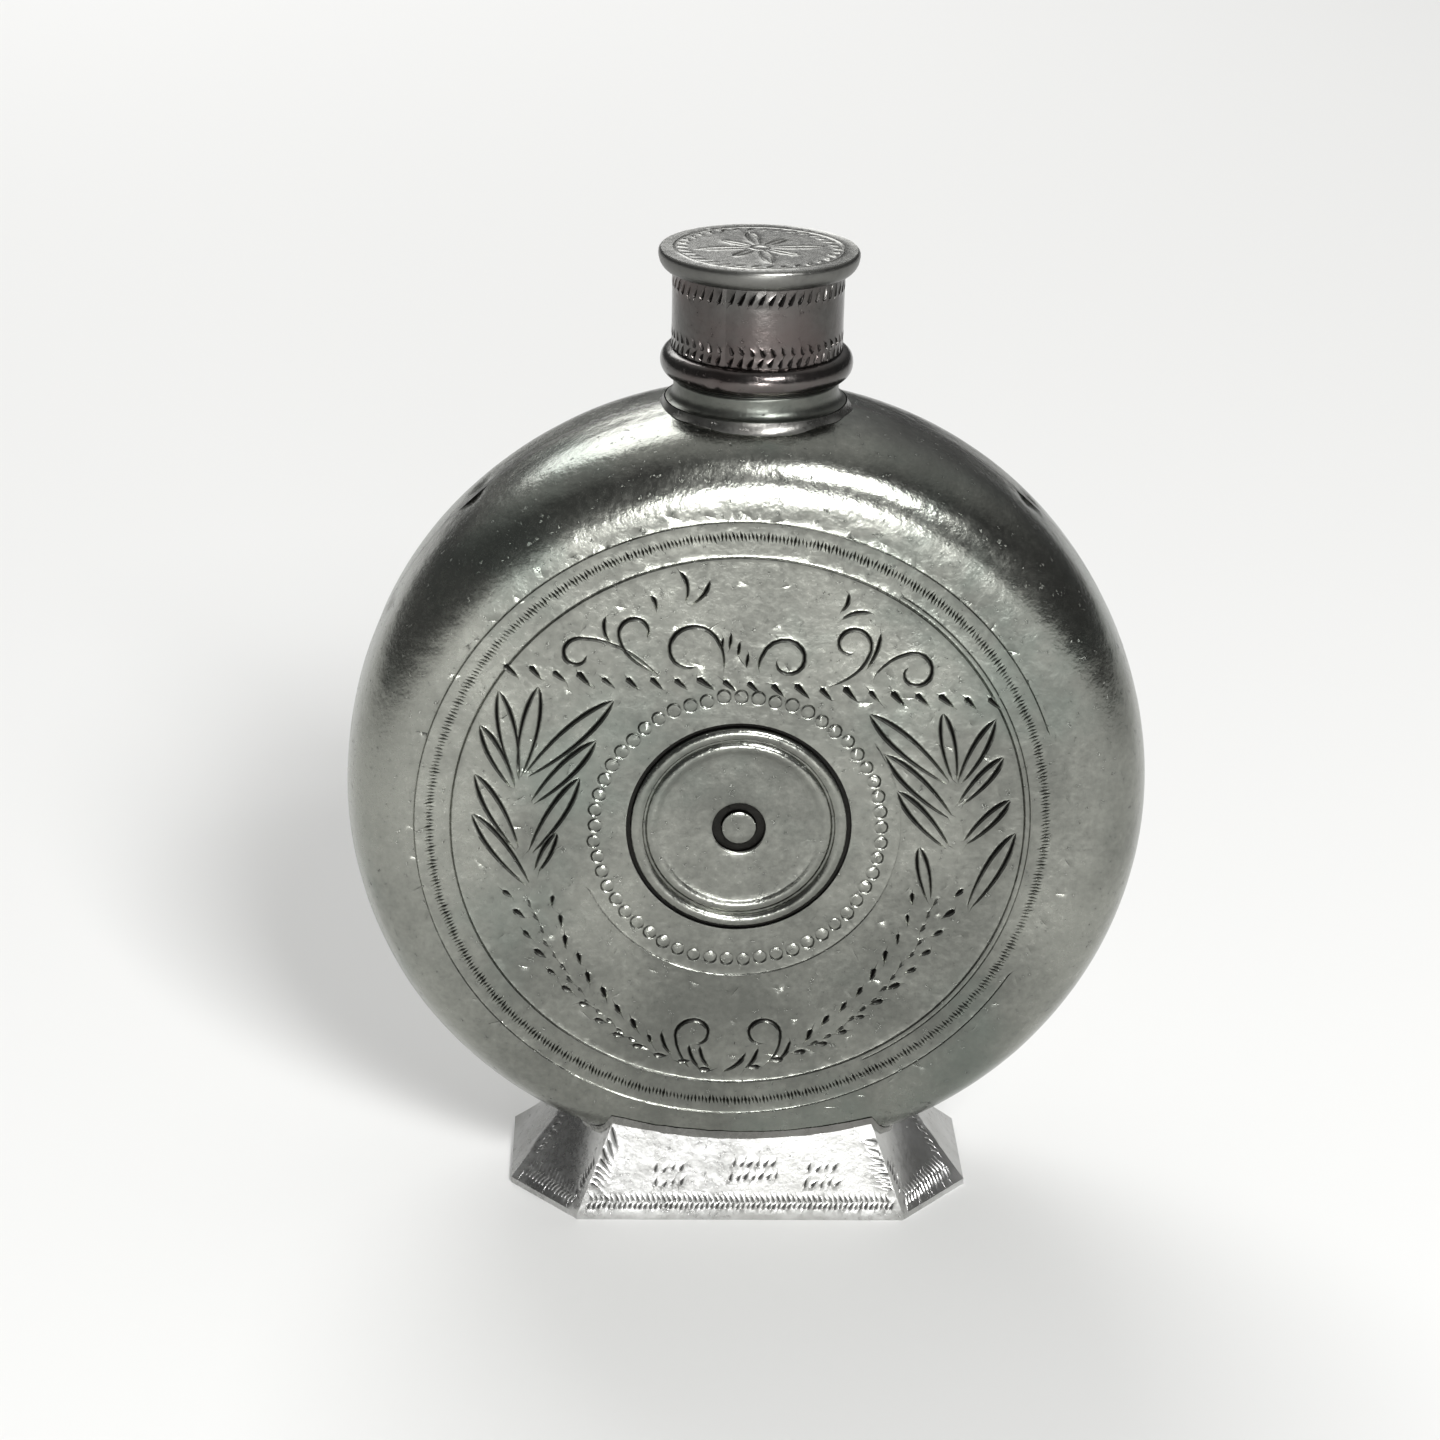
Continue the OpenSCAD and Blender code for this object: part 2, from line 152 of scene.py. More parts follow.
@dataclass
class Marks:
    """Engraved marks on a flat sheet: triangles over points (across, up, height), in mm."""

    points: list[Point3] = field(default_factory=list)
    faces: Faces = field(default_factory=list)

    def add(self, points: list[Point3], faces: Faces) -> None:
        """Adds a mark's points and faces.

        Args:
            points: its points.
            faces: its faces, which count its own points.
        """
        base = len(self.points)
        self.points += points
        self.faces += [tuple(base + i for i in face) for face in faces]

    def groove(self, path: list[Point], half_widths: list[float], depth: float,
               burr: float) -> None:
        """Adds one burin cut: a V groove with a thin raised burr on each side.

        Args:
            path: the middle line of the cut.
            half_widths: half the cut's width at each point of the path.
            depth: depth where the cut is widest.
            burr: height of the burr.
        """
        widest = max(half_widths)
        section = ((-1.7, 0.0), (-1.05, 1.0), (0.0, -1.0), (1.05, 1.0), (1.7, 0.0))
        points = []
        for i, (x, y) in enumerate(path):
            a, b = path[max(0, i - 1)], path[min(len(path) - 1, i + 1)]
            span = math.dist(a, b)
            normal = ((a[1] - b[1]) / span, (b[0] - a[0]) / span)
            share = half_widths[i] / widest
            for out, rise in section:
                h = rise * burr * share if rise > 0 else rise * depth * share**0.8
                off = out * half_widths[i]
                points.append((x + normal[0] * off, y + normal[1] * off, h))
        n = len(section)
        faces = []
        for i in range(len(path) - 1):
            for k in range(n - 1):
                a, b = n * i + k, n * i + k + 1
                faces += [(a, b, b + n), (a, b + n, a + n)]
        self.add(points, faces)

    def line(self, path: list[Point], half_width: float, depth: float) -> None:
        """Adds a plain scribed line of even width."""
        self.groove(path, [half_width] * len(path), depth, depth * 0.25)

    def cut(self, path: list[Point], half_width: float, depth: float, blunt: float) -> None:
        """Adds a tapered cut.

        Args:
            path: the middle line of the cut.
            half_width: half the width where it is widest.
            depth: depth where it is widest.
            blunt: where along the path it is widest, from 0 to 1.
        """
        last = len(path) - 1
        widths = []
        for i in range(last + 1):
            t = i / last
            rise = t / blunt if t < blunt else (1.0 - t) / (1.0 - blunt)
            widths.append(half_width * (0.12 + 0.88 * max(0.0, rise)**0.42))
        self.groove(path, widths, depth, BURR)

    def leaf(self, tip: Point, base: Point, half_width: float, depth: float) -> None:
        """Adds a leaf drawn with two bowed cuts that meet at its tip.

        Args:
            tip: the leaf's tip.
            base: its foot.
            half_width: half a cut's width.
            depth: a cut's depth.
        """
        length = math.dist(tip, base)
        along = tuple((tip[k] - base[k]) / length for k in (0, 1))
        side = (-along[1], along[0])
        for s in (-1.0, 1.0):
            foot = tuple(base[k] + s * side[k] * 0.32 for k in (0, 1))
            head = tuple(tip[k] + s * side[k] * 0.12 for k in (0, 1))
            bow = s * (0.14 * length + 0.2)
            bend = tuple(base[k] + along[k] * length * 0.62 + side[k] * bow for k in (0, 1))
            self.cut(bezier(foot, bend, head, 12), half_width, depth, 0.72)

    def heights(self, at: np.ndarray) -> np.ndarray:
        """The height of the marks: the deepest groove at a point, or else the highest burr.

        Args:
            at: points, one (across, up) row each.

        Returns:
            One height for each point.
        """
        low, high = np.zeros(len(at)), np.zeros(len(at))
        cells: dict[tuple[int, int], list[int]] = {}
        for i, (x, y) in enumerate(at):
            cells.setdefault((int(x // 1), int(y // 1)), []).append(i)
        points = np.array(self.points)
        for face in self.faces:
            corner = points[list(face[:3])]
            (x0, y0), (x1, y1) = corner[:, :2].min(0) // 1, corner[:, :2].max(0) // 1
            near = [i for x in range(int(x0), int(x1) + 1) for y in range(int(y0), int(y1) + 1)
                    for i in cells.get((x, y), [])]
            a, b = corner[1, :2] - corner[0, :2], corner[2, :2] - corner[0, :2]
            area = a[0] * b[1] - a[1] * b[0]
            if not near or abs(area) < 1e-9:
                continue
            near = np.array(near)
            p = at[near] - corner[0, :2]
            s = (p[:, 0] * b[1] - p[:, 1] * b[0]) / area
            t = (a[0] * p[:, 1] - a[1] * p[:, 0]) / area
            hit = (s > -1e-4) & (t > -1e-4) & (s + t < 1.0001)
            rise = corner[1:, 2] - corner[0, 2]
            h = (corner[0, 2] + s * rise[0] + t * rise[1])[hit]
            low[near[hit]] = np.minimum(low[near[hit]], h)
            high[near[hit]] = np.maximum(high[near[hit]], h)
        return np.where(low < -1e-4, low, high)


class Wiring:
    """Adds nodes to a node tree and wires them up."""

    def __init__(self, tree: bpy.types.NodeTree) -> None:
        """Takes the tree that it adds to."""
        self.tree = tree

    def declare(self, **kinds: dict[str, str]) -> dict[str, str]:
        """Gives a node group its sockets.

        Args:
            kinds: the kind of each named socket, such as Float, under INPUT and under OUTPUT.

        Returns:
            The identifier of each socket.
        """
        found = {}
        for way, sockets in kinds.items():
            for name, kind in sockets.items():
                found[name] = self.tree.interface.new_socket(
                    name, in_out=way, socket_type=f"NodeSocket{kind}").identifier
        return found

    def fill(self, node: bpy.types.Node, inputs: dict[str | int, Wire]) -> None:
        """Feeds each named input of a node from a socket, or sets it to a plain value.

        Args:
            node: the node.
            inputs: a socket or a plain value for each input.
        """
        for key, value in inputs.items():
            if isinstance(value, bpy.types.NodeSocket):
                self.tree.links.new(value, node.inputs[key])
            else:
                node.inputs[key].default_value = value

    def add(self, kind: str, inputs: dict[str | int, Wire], out: str | int = 0,
            **settings: object) -> bpy.types.NodeSocket:
        """Adds a node.

        Args:
            kind: the node's type.
            inputs: what feeds its inputs.
            out: which output to return.
            settings: the node's own properties.

        Returns:
            The output.
        """
        node = self.tree.nodes.new(kind)
        for name, value in settings.items():
            setattr(node, name, value)
        self.fill(node, inputs)
        return node.outputs[out]

    def math(self, operation: str, a: Wire, b: Wire) -> bpy.types.NodeSocket:
        """Adds a math node on two sockets or numbers."""
        return self.add("ShaderNodeMath", {0: a, 1: b}, operation=operation)

    def times(self, a: Wire, b: Wire) -> bpy.types.NodeSocket:
        """Adds a product of two sockets or numbers."""
        return self.math("MULTIPLY", a, b)

    def mix(self, factor: Wire, a: Wire, b: Wire) -> bpy.types.NodeSocket:
        """Adds a mix of two colours."""
        return self.add("ShaderNodeMix", {0: factor, 6: a, 7: b}, 2, data_type="RGBA")

    def noise(self, vector: Wire, scale: float, detail: float,
              rough: float) -> bpy.types.NodeSocket:
        """Adds a noise texture."""
        inputs = {"Vector": vector, "Scale": scale, "Detail": detail, "Roughness": rough}
        return self.add("ShaderNodeTexNoise", inputs, "Fac")

    def span(self, value: Wire, low: float, high: float, to_low: Wire = 0.0, to_high: Wire = 1.0,
             kind: str = "SMOOTHSTEP") -> bpy.types.NodeSocket:
        """Adds a clamped change of range, from low and high to the other two values.

        Args:
            value: what is changed.
            low: start of its range.
            high: end of its range.
            to_low: the result at the start.
            to_high: the result at the end.
            kind: how it runs from one to the other.

        Returns:
            The result.
        """
        inputs = {"Value": value, "From Min": low, "From Max": high,
                  "To Min": to_low, "To Max": to_high}
        return self.add("ShaderNodeMapRange", inputs, "Result", interpolation_type=kind)

    def bump(self, height: Wire, strength: float, distance: float) -> bpy.types.NodeSocket:
        """Adds a bump from a height."""
        inputs = {"Height": height, "Strength": strength, "Distance": distance}
        return self.add("ShaderNodeBump", inputs, "Normal")


def new_material(name: str) -> tuple[bpy.types.Material, Wiring, bpy.types.Node]:
    """Makes a material.

    Args:
        name: the material's name.

    Returns:
        The material, its wiring and its Principled shader.
    """
    material = bpy.data.materials.new(name)
    material.use_nodes = True
    return material, Wiring(material.node_tree), material.node_tree.nodes["Principled BSDF"]


class MarkPath:
    """Geometry Nodes that repeat one mark along a path, a little unevenly, as a hand punch does."""

    def __init__(self) -> None:
        """Builds the tree once."""
        self.tree = bpy.data.node_groups.new("MarksOnPath", "GeometryNodeTree")
        self.make = Wiring(self.tree)
        self.sockets = self.make.declare(INPUT={
            "Path": "Object", "Mark": "Object", "Count": "Int", "Turn": "Float",
            "Turn Spread": "Float", "Shift Spread": "Float", "Least Size": "Float",
            "Most Size": "Float", "Seed": "Int", "Finish": "Material",
        }, OUTPUT={"Geometry": "Geometry"})
        self.source = self.tree.nodes.new("NodeGroupInput").outputs
        self.wire()

    def wire(self) -> None:
        """Adds and links the tree's nodes."""
        add, calc, source = self.make.add, self.make.math, self.source
        path = add("GeometryNodeObjectInfo", {"Object": source["Path"]}, "Geometry")
        mark = add("GeometryNodeObjectInfo", {"Object": source["Mark"]}, "Geometry")
        points = add("GeometryNodeCurveToPoints", {"Curve": path, "Count": source["Count"]})
        way = add("ShaderNodeSeparateXYZ", {"Vector": points.node.outputs["Tangent"]}).node.outputs
        turned = calc("ADD", calc("ARCTAN2", way["Y"], way["X"]), source["Turn"])
        angle = calc("ADD", turned, self.spread(source["Turn Spread"], 0.0))
        shift = self.spread(source["Shift Spread"], 1.0)
        offset = {"X": calc("MULTIPLY", calc("MULTIPLY", way["Y"], shift), -1.0),
                  "Y": calc("MULTIPLY", way["X"], shift)}
        moved = add("GeometryNodeSetPosition", {
            "Geometry": points, "Offset": add("ShaderNodeCombineXYZ", offset)})
        placed = add("GeometryNodeInstanceOnPoints", {
            "Points": moved, "Instance": mark,
            "Rotation": add("ShaderNodeCombineXYZ", {"Z": angle}),
            "Scale": self.random(source["Least Size"], source["Most Size"], 2.0)})
        real = add("GeometryNodeRealizeInstances", {"Geometry": placed})
        dressed = add("GeometryNodeSetMaterial", {"Geometry": real, "Material": source["Finish"]})
        self.make.fill(self.tree.nodes.new("NodeGroupOutput"), {"Geometry": dressed})

    def random(self, low: Wire, high: Wire, step: float) -> bpy.types.NodeSocket:
        """Adds a random number between two sockets, with its own step of the seed.

        Args:
            low: the least value.
            high: the greatest value.
            step: added to the seed.

        Returns:
            The number.
        """
        seed = self.make.math("ADD", self.source["Seed"], step)
        inputs = {2: low, 3: high, "Seed": seed}
        return self.make.add("FunctionNodeRandomValue", inputs, 1, data_type="FLOAT")

    def spread(self, reach: Wire, step: float) -> bpy.types.NodeSocket:
        """Adds a random number between minus and plus a socket's value."""
        return self.random(self.make.times(reach, -1.0), reach, step)

    def lay(self, marks: Marks, mark: Marks, path: list[Point], count: int, turn: float,
            sway: float, shift: float, size: Point, seed: int, closed: bool = False) -> None:
        """Repeats a mark along a path and adds the result to a sheet's marks.

        Args:
            marks: the sheet's marks.
            mark: the mark, drawn round the origin and pointing along +X.
            path: the path's points.
            count: how many times the mark is repeated.
            turn: degrees from the path's direction to the mark's.
            sway: most degrees that a mark is turned off.
            shift: most that a mark lies off the path.
            size: least and most size.
            seed: the fixed seed.
            closed: whether the path runs back to its start.
        """
        curve = bpy.data.curves.new("mark_path", "CURVE")
        curve.dimensions = "3D"
        spline = curve.splines.new("POLY")
        spline.points.add(len(path) - 1)
        for point, (x, y) in zip(spline.points, path):
            point.co = (x, y, 0.0, 1.0)
        spline.use_cyclic_u = closed
        shape = bpy.data.meshes.new("mark_shape")
        shape.from_pydata(mark.points, [], mark.faces)
        empty = bpy.data.meshes.new("mark_host")
        helpers = [bpy.data.objects.new(data.name, data) for data in (curve, shape, empty)]
        track, stamp, host = helpers
        modifier = host.modifiers.new("Marks", "NODES")
        modifier.node_group = self.tree
        values = {
            "Path": track, "Mark": stamp, "Count": count, "Turn": math.radians(turn),
            "Turn Spread": math.radians(sway), "Shift Spread": shift,
            "Least Size": size[0], "Most Size": size[1], "Seed": seed,
        }
        for name, value in values.items():
            modifier[self.sockets[name]] = value
        for helper in helpers:
            bpy.context.scene.collection.objects.link(helper)
        graph = bpy.context.evaluated_depsgraph_get()
        mesh = bpy.data.meshes.new_from_object(host.evaluated_get(graph))
        marks.add([tuple(v.co) for v in mesh.vertices],
                  [tuple(p.vertices) for p in mesh.polygons])
        for helper in helpers:
            bpy.data.objects.remove(helper)
        for data in (mesh, shape, empty):
            bpy.data.meshes.remove(data)
        bpy.data.curves.remove(curve)


def tick(length: float, half_width: float, depth: float, blunt: float = 0.3) -> Marks:
    """One small chisel tick that points along +X, centred on the origin.

    Args:
        length: its length.
        half_width: half its width.
        depth: its depth.
        blunt: where along it the tick is widest.

    Returns:
        The mark.
    """
    mark = Marks()
    path = [(-length / 2 + length * t, 0.0) for t in (0.0, 0.12, 0.35, 0.65, 1.0)]
    mark.cut(path, half_width, depth, blunt)
    return mark


def nick(length: float, half_width: float, depth: float) -> Marks:
    """The smallest mark: a four-sided dent.

    Args:
        length: its length.
        half_width: half its width.
        depth: its depth.

    Returns:
        The mark.
    """
    a, b = length / 2, half_width
    corners = [(-a, 0, 0), (0, -b, 0), (a, 0, 0), (0, b, 0)]
    floor = [(-a / 3, 0, -depth), (a / 3, 0, -depth)]
    return Marks(corners + floor,
                 [(0, 1, 4), (1, 5, 4), (1, 2, 5), (2, 3, 5), (3, 4, 5), (3, 0, 4)])


def ring_punch(radius: float, half_width: float, depth: float) -> Marks:
    """One struck ring, deeper on one side than on the other.

    Args:
        radius: its radius.
        half_width: half its line's width.
        depth: its depth.

    Returns:
        The mark.
    """
    sides, rows = 16, ((-1.0, 0.0), (0.0, 1.0), (1.0, 0.0), (1.6, -0.06))
    n = len(rows)
    points, faces = [], []
    for i, (c, s) in enumerate(directions(sides)):
        bite = 0.35 + 0.65 * (0.5 + 0.5 * c)
        for k, (out, down) in enumerate(rows):
            r = radius + out * half_width
            points.append((r * c, r * s, -down * depth * bite))
            a, b = n * i + k, n * ((i + 1) % sides) + k
            faces += [(a, a + 1, b + 1), (a, b + 1, b)] if k < n - 1 else []
    return Marks(points, faces)


def inside(loop: list[Point], at: np.ndarray, margin: float) -> np.ndarray:
    """Which points lie inside a closed convex edge that runs anticlockwise, by a margin.

    Args:
        loop: the edge.
        at: the points.
        margin: how far inside they have to lie.

    Returns:
        One truth value for each point.
    """
    result = np.ones(len(at), bool)
    for a, b in zip(loop, loop[1:] + loop[:1]):
        cross = (b[0] - a[0]) * (at[:, 1] - a[1]) - (b[1] - a[1]) * (at[:, 0] - a[0])
        result &= cross > margin * math.dist(a, b)
    return result


def engrave(outline: list[list[Point]], marks: Marks,
            spacing: float) -> tuple[np.ndarray, Faces, list[list[int]]]:
    """Cuts marks into a flat sheet.

    Args:
        outline: the sheet's closed edge first, then the edge of each hole.
        marks: the marks, all inside the sheet.
        spacing: distance between the plain points that fill the sheet.

    Returns:
        The sheet's points (across, up, height), its triangles, and for each
        edge the numbers of its points in order.
    """

    def within(at: np.ndarray, margin: float) -> np.ndarray:
        """Which points lie on the sheet, clear of its edges by a margin.

        Args:
            at: the points.
            margin: how clear of the edges they have to be.

        Returns:
            One truth value for each point.
        """
        keep = inside(outline[0], at, margin)
        for hole in outline[1:]:
            keep &= ~inside(hole, at, -margin)
        return keep

    points, edges, loops = [], set(), []
    for loop in outline:
        ids = list(range(len(points), len(points) + len(loop)))
        points += loop
        loops.append(ids)
        edges |= set(zip(ids, ids[1:] + ids[:1]))
    base = len(points)
    points += [(x, y) for x, y, _ in marks.points]
    for face in marks.faces:
        for a, b in zip(face, face[1:] + face[:1]):
            edges.add((base + min(a, b), base + max(a, b)))
    edge = np.array(outline[0])
    low, high = edge.min(0), edge.max(0)
    rows, columns = (int(n) for n in (high - low)[::-1] / spacing)
    j, i = np.mgrid[1:rows, 1:columns]
    fill = np.column_stack([(low[0] + (i + 0.5 * (j % 2)) * spacing).ravel(),
                            (low[1] + j * spacing).ravel()])
    points += [tuple(p) for p in fill[within(fill, spacing * 0.4)]]
    out = delaunay_2d_cdt([Vector(p) for p in points], list(edges), [], 0, 1e-5)
    flat, triangles, origin = np.array([tuple(p) for p in out[0]]), out[2], out[3]
    place: dict[int, int] = {}
    for new, olds in enumerate(origin):
        for old in olds:
            place.setdefault(old, new)
    loops = [[place[i] for i in ids] for ids in loops]
    keep = within(flat[np.array(triangles)].mean(1), 0.0)
    kept = [tuple(face) for face, good in zip(triangles, keep) if good]
    height = marks.heights(flat)
    for ids in loops:
        height[ids] = 0.0
    return np.column_stack([flat, height]), kept, loops


class Solid:
    """A closed solid that is put together from sheets and rings of points, in millimetres."""

    def __init__(self, name: str) -> None:
        """Starts an empty solid with the name of the piece.

        Args:
            name: the name of the piece.
        """
        self.name = name
        self.points: list[Point3] = []
        self.grime: list[float] = []
        self.faces: Faces = []

    def put(self, points: list[Point3], grime: list[float] | float = 0.0) -> list[int]:
        """Adds points, with how deep in a groove each lies or how much painted shade it gets, and
        returns their numbers.

        Args:
            points: the points.
            grime: how deep each lies or its share of painted shade, or one value for all.

        Returns:
            The numbers of the points.
        """
        base = len(self.points)
        self.points += points
        self.grime += grime if isinstance(grime, list) else [grime] * len(points)
        return list(range(base, base + len(points)))

    def ring(self, count: int, place: Place, grime: float = 0.0) -> list[int]:
        """Adds a ring round +Z, whose place gives radius and height in a direction.

        Args:
            count: number of points.
            place: gives radius and height in a direction.
            grime: how deep in a groove the ring lies, or its share of painted shade.

        Returns:
            The numbers of its points.
        """
        row = []
        for c, s in directions(count):
            r, up = place(c, s)
            row.append((r * c, r * s, up))
        return self.put(row, grime)

    def sheet(self, outline: list[list[Point]], marks: Marks, spacing: float,
              place: Callable[[float, float, float], Point3]) -> list[list[int]]:
        """Adds an engraved sheet.

        Args:
            outline: the sheet's edges.
            marks: its marks.
            spacing: distance between its plain points.
            place: where its points (across, up, height) go.

        Returns:
            For each edge, the numbers of its points.
        """
        flat, triangles, loops = engrave(outline, marks, spacing)
        ids = self.put([place(*p) for p in flat], [max(0.0, -h) for h in flat[:, 2]])
        self.faces += [tuple(ids[i] for i in face) for face in triangles]
        return [[ids[i] for i in loop] for loop in loops]

    def bridge(self, a: list[int], b: list[int], closed: bool = True) -> None:
        """Joins two rows of as many points with a band of faces.

        Args:
            a: one row.
            b: the other row.
            closed: whether the rows run back to their start.
        """
        n = len(a)
        for i in range(n if closed else n - 1):
            k = (i + 1) % n
            self.faces.append((a[i], a[k], b[k], b[i]))

    def rows(self, rings: list[list[int]], around: bool = False) -> None:
        """Joins each ring to the next one, and the last to the first if that is asked."""
        for a, b in zip(rings, rings[1:] + rings[:around]):
            self.bridge(a, b)

    def close(self, ring: list[int]) -> None:
        """Closes a ring with triangles to its middle.

        Args:
            ring: the numbers of its points.
        """
        middle = [sum(self.points[i][k] for i in ring) / len(ring) for k in range(3)]
        centre = self.put([tuple(middle)])[0]
        for i, a in enumerate(ring):
            self.faces.append((a, ring[(i + 1) % len(ring)], centre))

    def build(self, crease: float = 38.0) -> bpy.types.Object:
        """Makes the piece's object in metres, with its normals outwards.

        Args:
            crease: faces that meet at a sharper angle than this, in degrees, keep a crisp edge.

        Returns:
            The new object, linked to the scene.
        """
        mesh = bpy.data.meshes.new(self.name)
        corners = [(x * MM, y * MM, (z + BODY_CENTRE_Z) * MM) for x, y, z in self.points]
        mesh.from_pydata(corners, [], self.faces)
        # The groove attribute darkens deep grooves with oxide and also paints shade into gaps and
        # under the cap
        mesh.attributes.new("groove", "FLOAT", "POINT").data.foreach_set("value", self.grime)
        work = bmesh.new()
        work.from_mesh(mesh)
        bmesh.ops.remove_doubles(work, verts=work.verts, dist=2e-7)
        bmesh.ops.dissolve_degenerate(work, edges=work.edges, dist=1e-8)
        bmesh.ops.recalc_face_normals(work, faces=work.faces)
        work.to_mesh(mesh)
        work.free()
        mesh.shade_smooth()
        mesh.set_sharp_from_angle(angle=math.radians(crease))
        piece = bpy.data.objects.new(self.name, mesh)
        bpy.context.scene.collection.objects.link(piece)
        return piece


def finish_piece(piece: bpy.types.Object, material: bpy.types.Material,
                 node: str, body: str = "flask") -> None:
    """Dresses a piece, lets it stand for its CAD node and puts it on its body.

    Args:
        piece: the piece.
        material: the piece's finish.
        node: the CAD node.
        body: the body that it rides on.
    """
    piece.data.materials.clear()
    piece.data.materials.append(material)
    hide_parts(node)
    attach(piece, body)
    log.info("made %s: %d faces", piece.name, len(piece.data.polygons))


class Side(Enum):
    """The two faces of the body."""

    FRONT = 1
    REAR = -1

    @property
    def word(self) -> str:
        """The side's name as the pieces have it."""
        return self.name.lower()


@dataclass
class HalfShell:
    """One turned half of the body, with its engraved face."""

    side: Side
    body_r: float = 57.495
    half_t: float = 18.1
    face_r: float = 44.9
    power: float = 2.93
    wall: float = 1.6
    sheet_r: float = 48.6
    around: int = 360
    rim_w: float = 1.4
    rim_depth: float = 0.8
    seat: Point = (-1.6, -0.5)
    seat_r: float = 15.85
    seat_depth: float = 0.8
    # How dark the seat's floor and the plug's hole are: dirt, with painted shade in the gap round
    # the disc
    seat_grime: float = 0.3
    plug_r: float = 2.5
    neck_r: float = 8.9
    neck_reach: float = 6.0
    dent: float = 0.09
    nick_r: float = 57.0
    # Each nick of the rim: its angle, its distance from the seam, its width and its depth
    rim_nicks: tuple[tuple[float, ...], ...] = (
        (133.0, 1.5, 1.6, 0.45), (152.0, 3.0, 1.3, 0.35), (48.0, 2.0, 1.5, 0.4),
        (22.0, 4.0, 1.8, 0.3), (97.0, 9.0, 2.2, 0.22), (171.0, 5.0, 1.4, 0.3))

    def curve(self, turn: float, r: float, half_t: float) -> Point:
        """A point of the rounded profile: its distances from the axis and the middle plane."""
        q = 2.0 / self.power
        return (self.face_r + (r - self.face_r) * math.sin(turn)**q,
                half_t * max(0.0, math.cos(turn))**q)

    def turn_at(self, r: float) -> float:
        """The turn at which the outer profile has a radius."""
        share = (r - self.face_r) / (self.body_r - self.face_r)
        return math.asin(min(1.0, share**(self.power / 2.0)))

    def level(self, x: float, z: float) -> float:
        """Distance of the outer face from the middle plane, at a place on the face.

        Args:
            x: place across.
            z: place up.

        Returns:
            The distance.
        """
        r = math.hypot(x, z)
        if r <= self.face_r:
            return self.half_t
        return self.curve(self.turn_at(r), self.body_r, self.half_t)[1]

    def within(self, x: float, y: float, z: float) -> bool:
        """Whether a point lies inside the body's outer face."""
        return math.hypot(x, z) < self.body_r and abs(y) < self.level(x, z)

    def top_at(self, x: float, y: float) -> float:
        """Height of the body's outer face over a place under the neck.

        Args:
            x: place across.
            y: place from front to back.

        Returns:
            The height.
        """
        low, high = 40.0, self.body_r
        for _ in range(20):
            up = (low + high) / 2
            low, high = (up, high) if self.within(x, y, up) else (low, up)
        return low

    def profile(self, start: float, end: float, r: float, half_t: float,
                rows: int) -> list[Point]:
        """Evenly spaced points along the rounded profile between two turns.

        Args:
            start: first turn.
            end: last turn.
            r: the profile's radius.
            half_t: half its thickness.
            rows: number of steps.

        Returns:
            The points.
        """
        steps = 600
        fine = [self.curve(start + (end - start) * i / steps, r, half_t)
                for i in range(steps + 1)]
        run = [0.0]
        for a, b in zip(fine, fine[1:]):
            run.append(run[-1] + math.dist(a, b))
        wants = [run[-1] * k / rows for k in range(rows + 1)]
        return [fine[min(range(steps + 1), key=lambda i: abs(run[i] - want))] for want in wants]

    def worn(self, x: float, y: float, z: float, slope: Point, rise: float = 0.0) -> Point3:
        """A point of the outer face, moved by its wear and by its engraving.

        Args:
            x: place across.
            y: place from front to back.
            z: place up.
            slope: the face's normal, outwards and forwards.
            rise: height of its engraving.

        Returns:
            The moved point.
        """
        clear_of_seam = smooth_step((abs(y) - 0.7) / 4.0)
        down = uneven((x, y * self.side.value, z), self.dent) * clear_of_seam
        down += self.nicks(x, y, z) - rise
        out, back = slope
        r = math.hypot(x, z) or 1.0
        return (x - down * out * x / r, y + down * back, z - down * out * z / r)

    def nicks(self, x: float, y: float, z: float) -> float:
        """Depth of the few small dents on the rim.

        Args:
            x: place across.
            y: place from front to back.
            z: place up.

        Returns:
            The depth.
        """
        depth = 0.0
        for turn, off, wide, deep in self.rim_nicks:
            (at_x, at_z), = arc((0.0, 0.0), (self.nick_r, self.nick_r), [turn])
            depth += deep * math.exp(-(math.dist((x, y, z), (at_x, -off, at_z)) / wide)**2)
        return depth

    def solid(self, marks: Marks, spacing: float) -> Solid:
        """Puts the shell together: engraved face, shoulder, rim, inside and medallion seat.

        Args:
            marks: the engraving.
            spacing: distance between the face's plain points.

        Returns:
            The solid.
        """
        shell = Solid(f"{self.side.word}_shell_engraved")
        circle = directions(self.around)

        def ring(r: float, t: float, grime: float = 0.0, centre: Point = (0.0, 0.0)) -> list[int]:
            """Adds one plain ring round an axis across the body."""
            return shell.put([(centre[0] + r * c, -t, centre[1] + r * s) for c, s in circle],
                             grime)

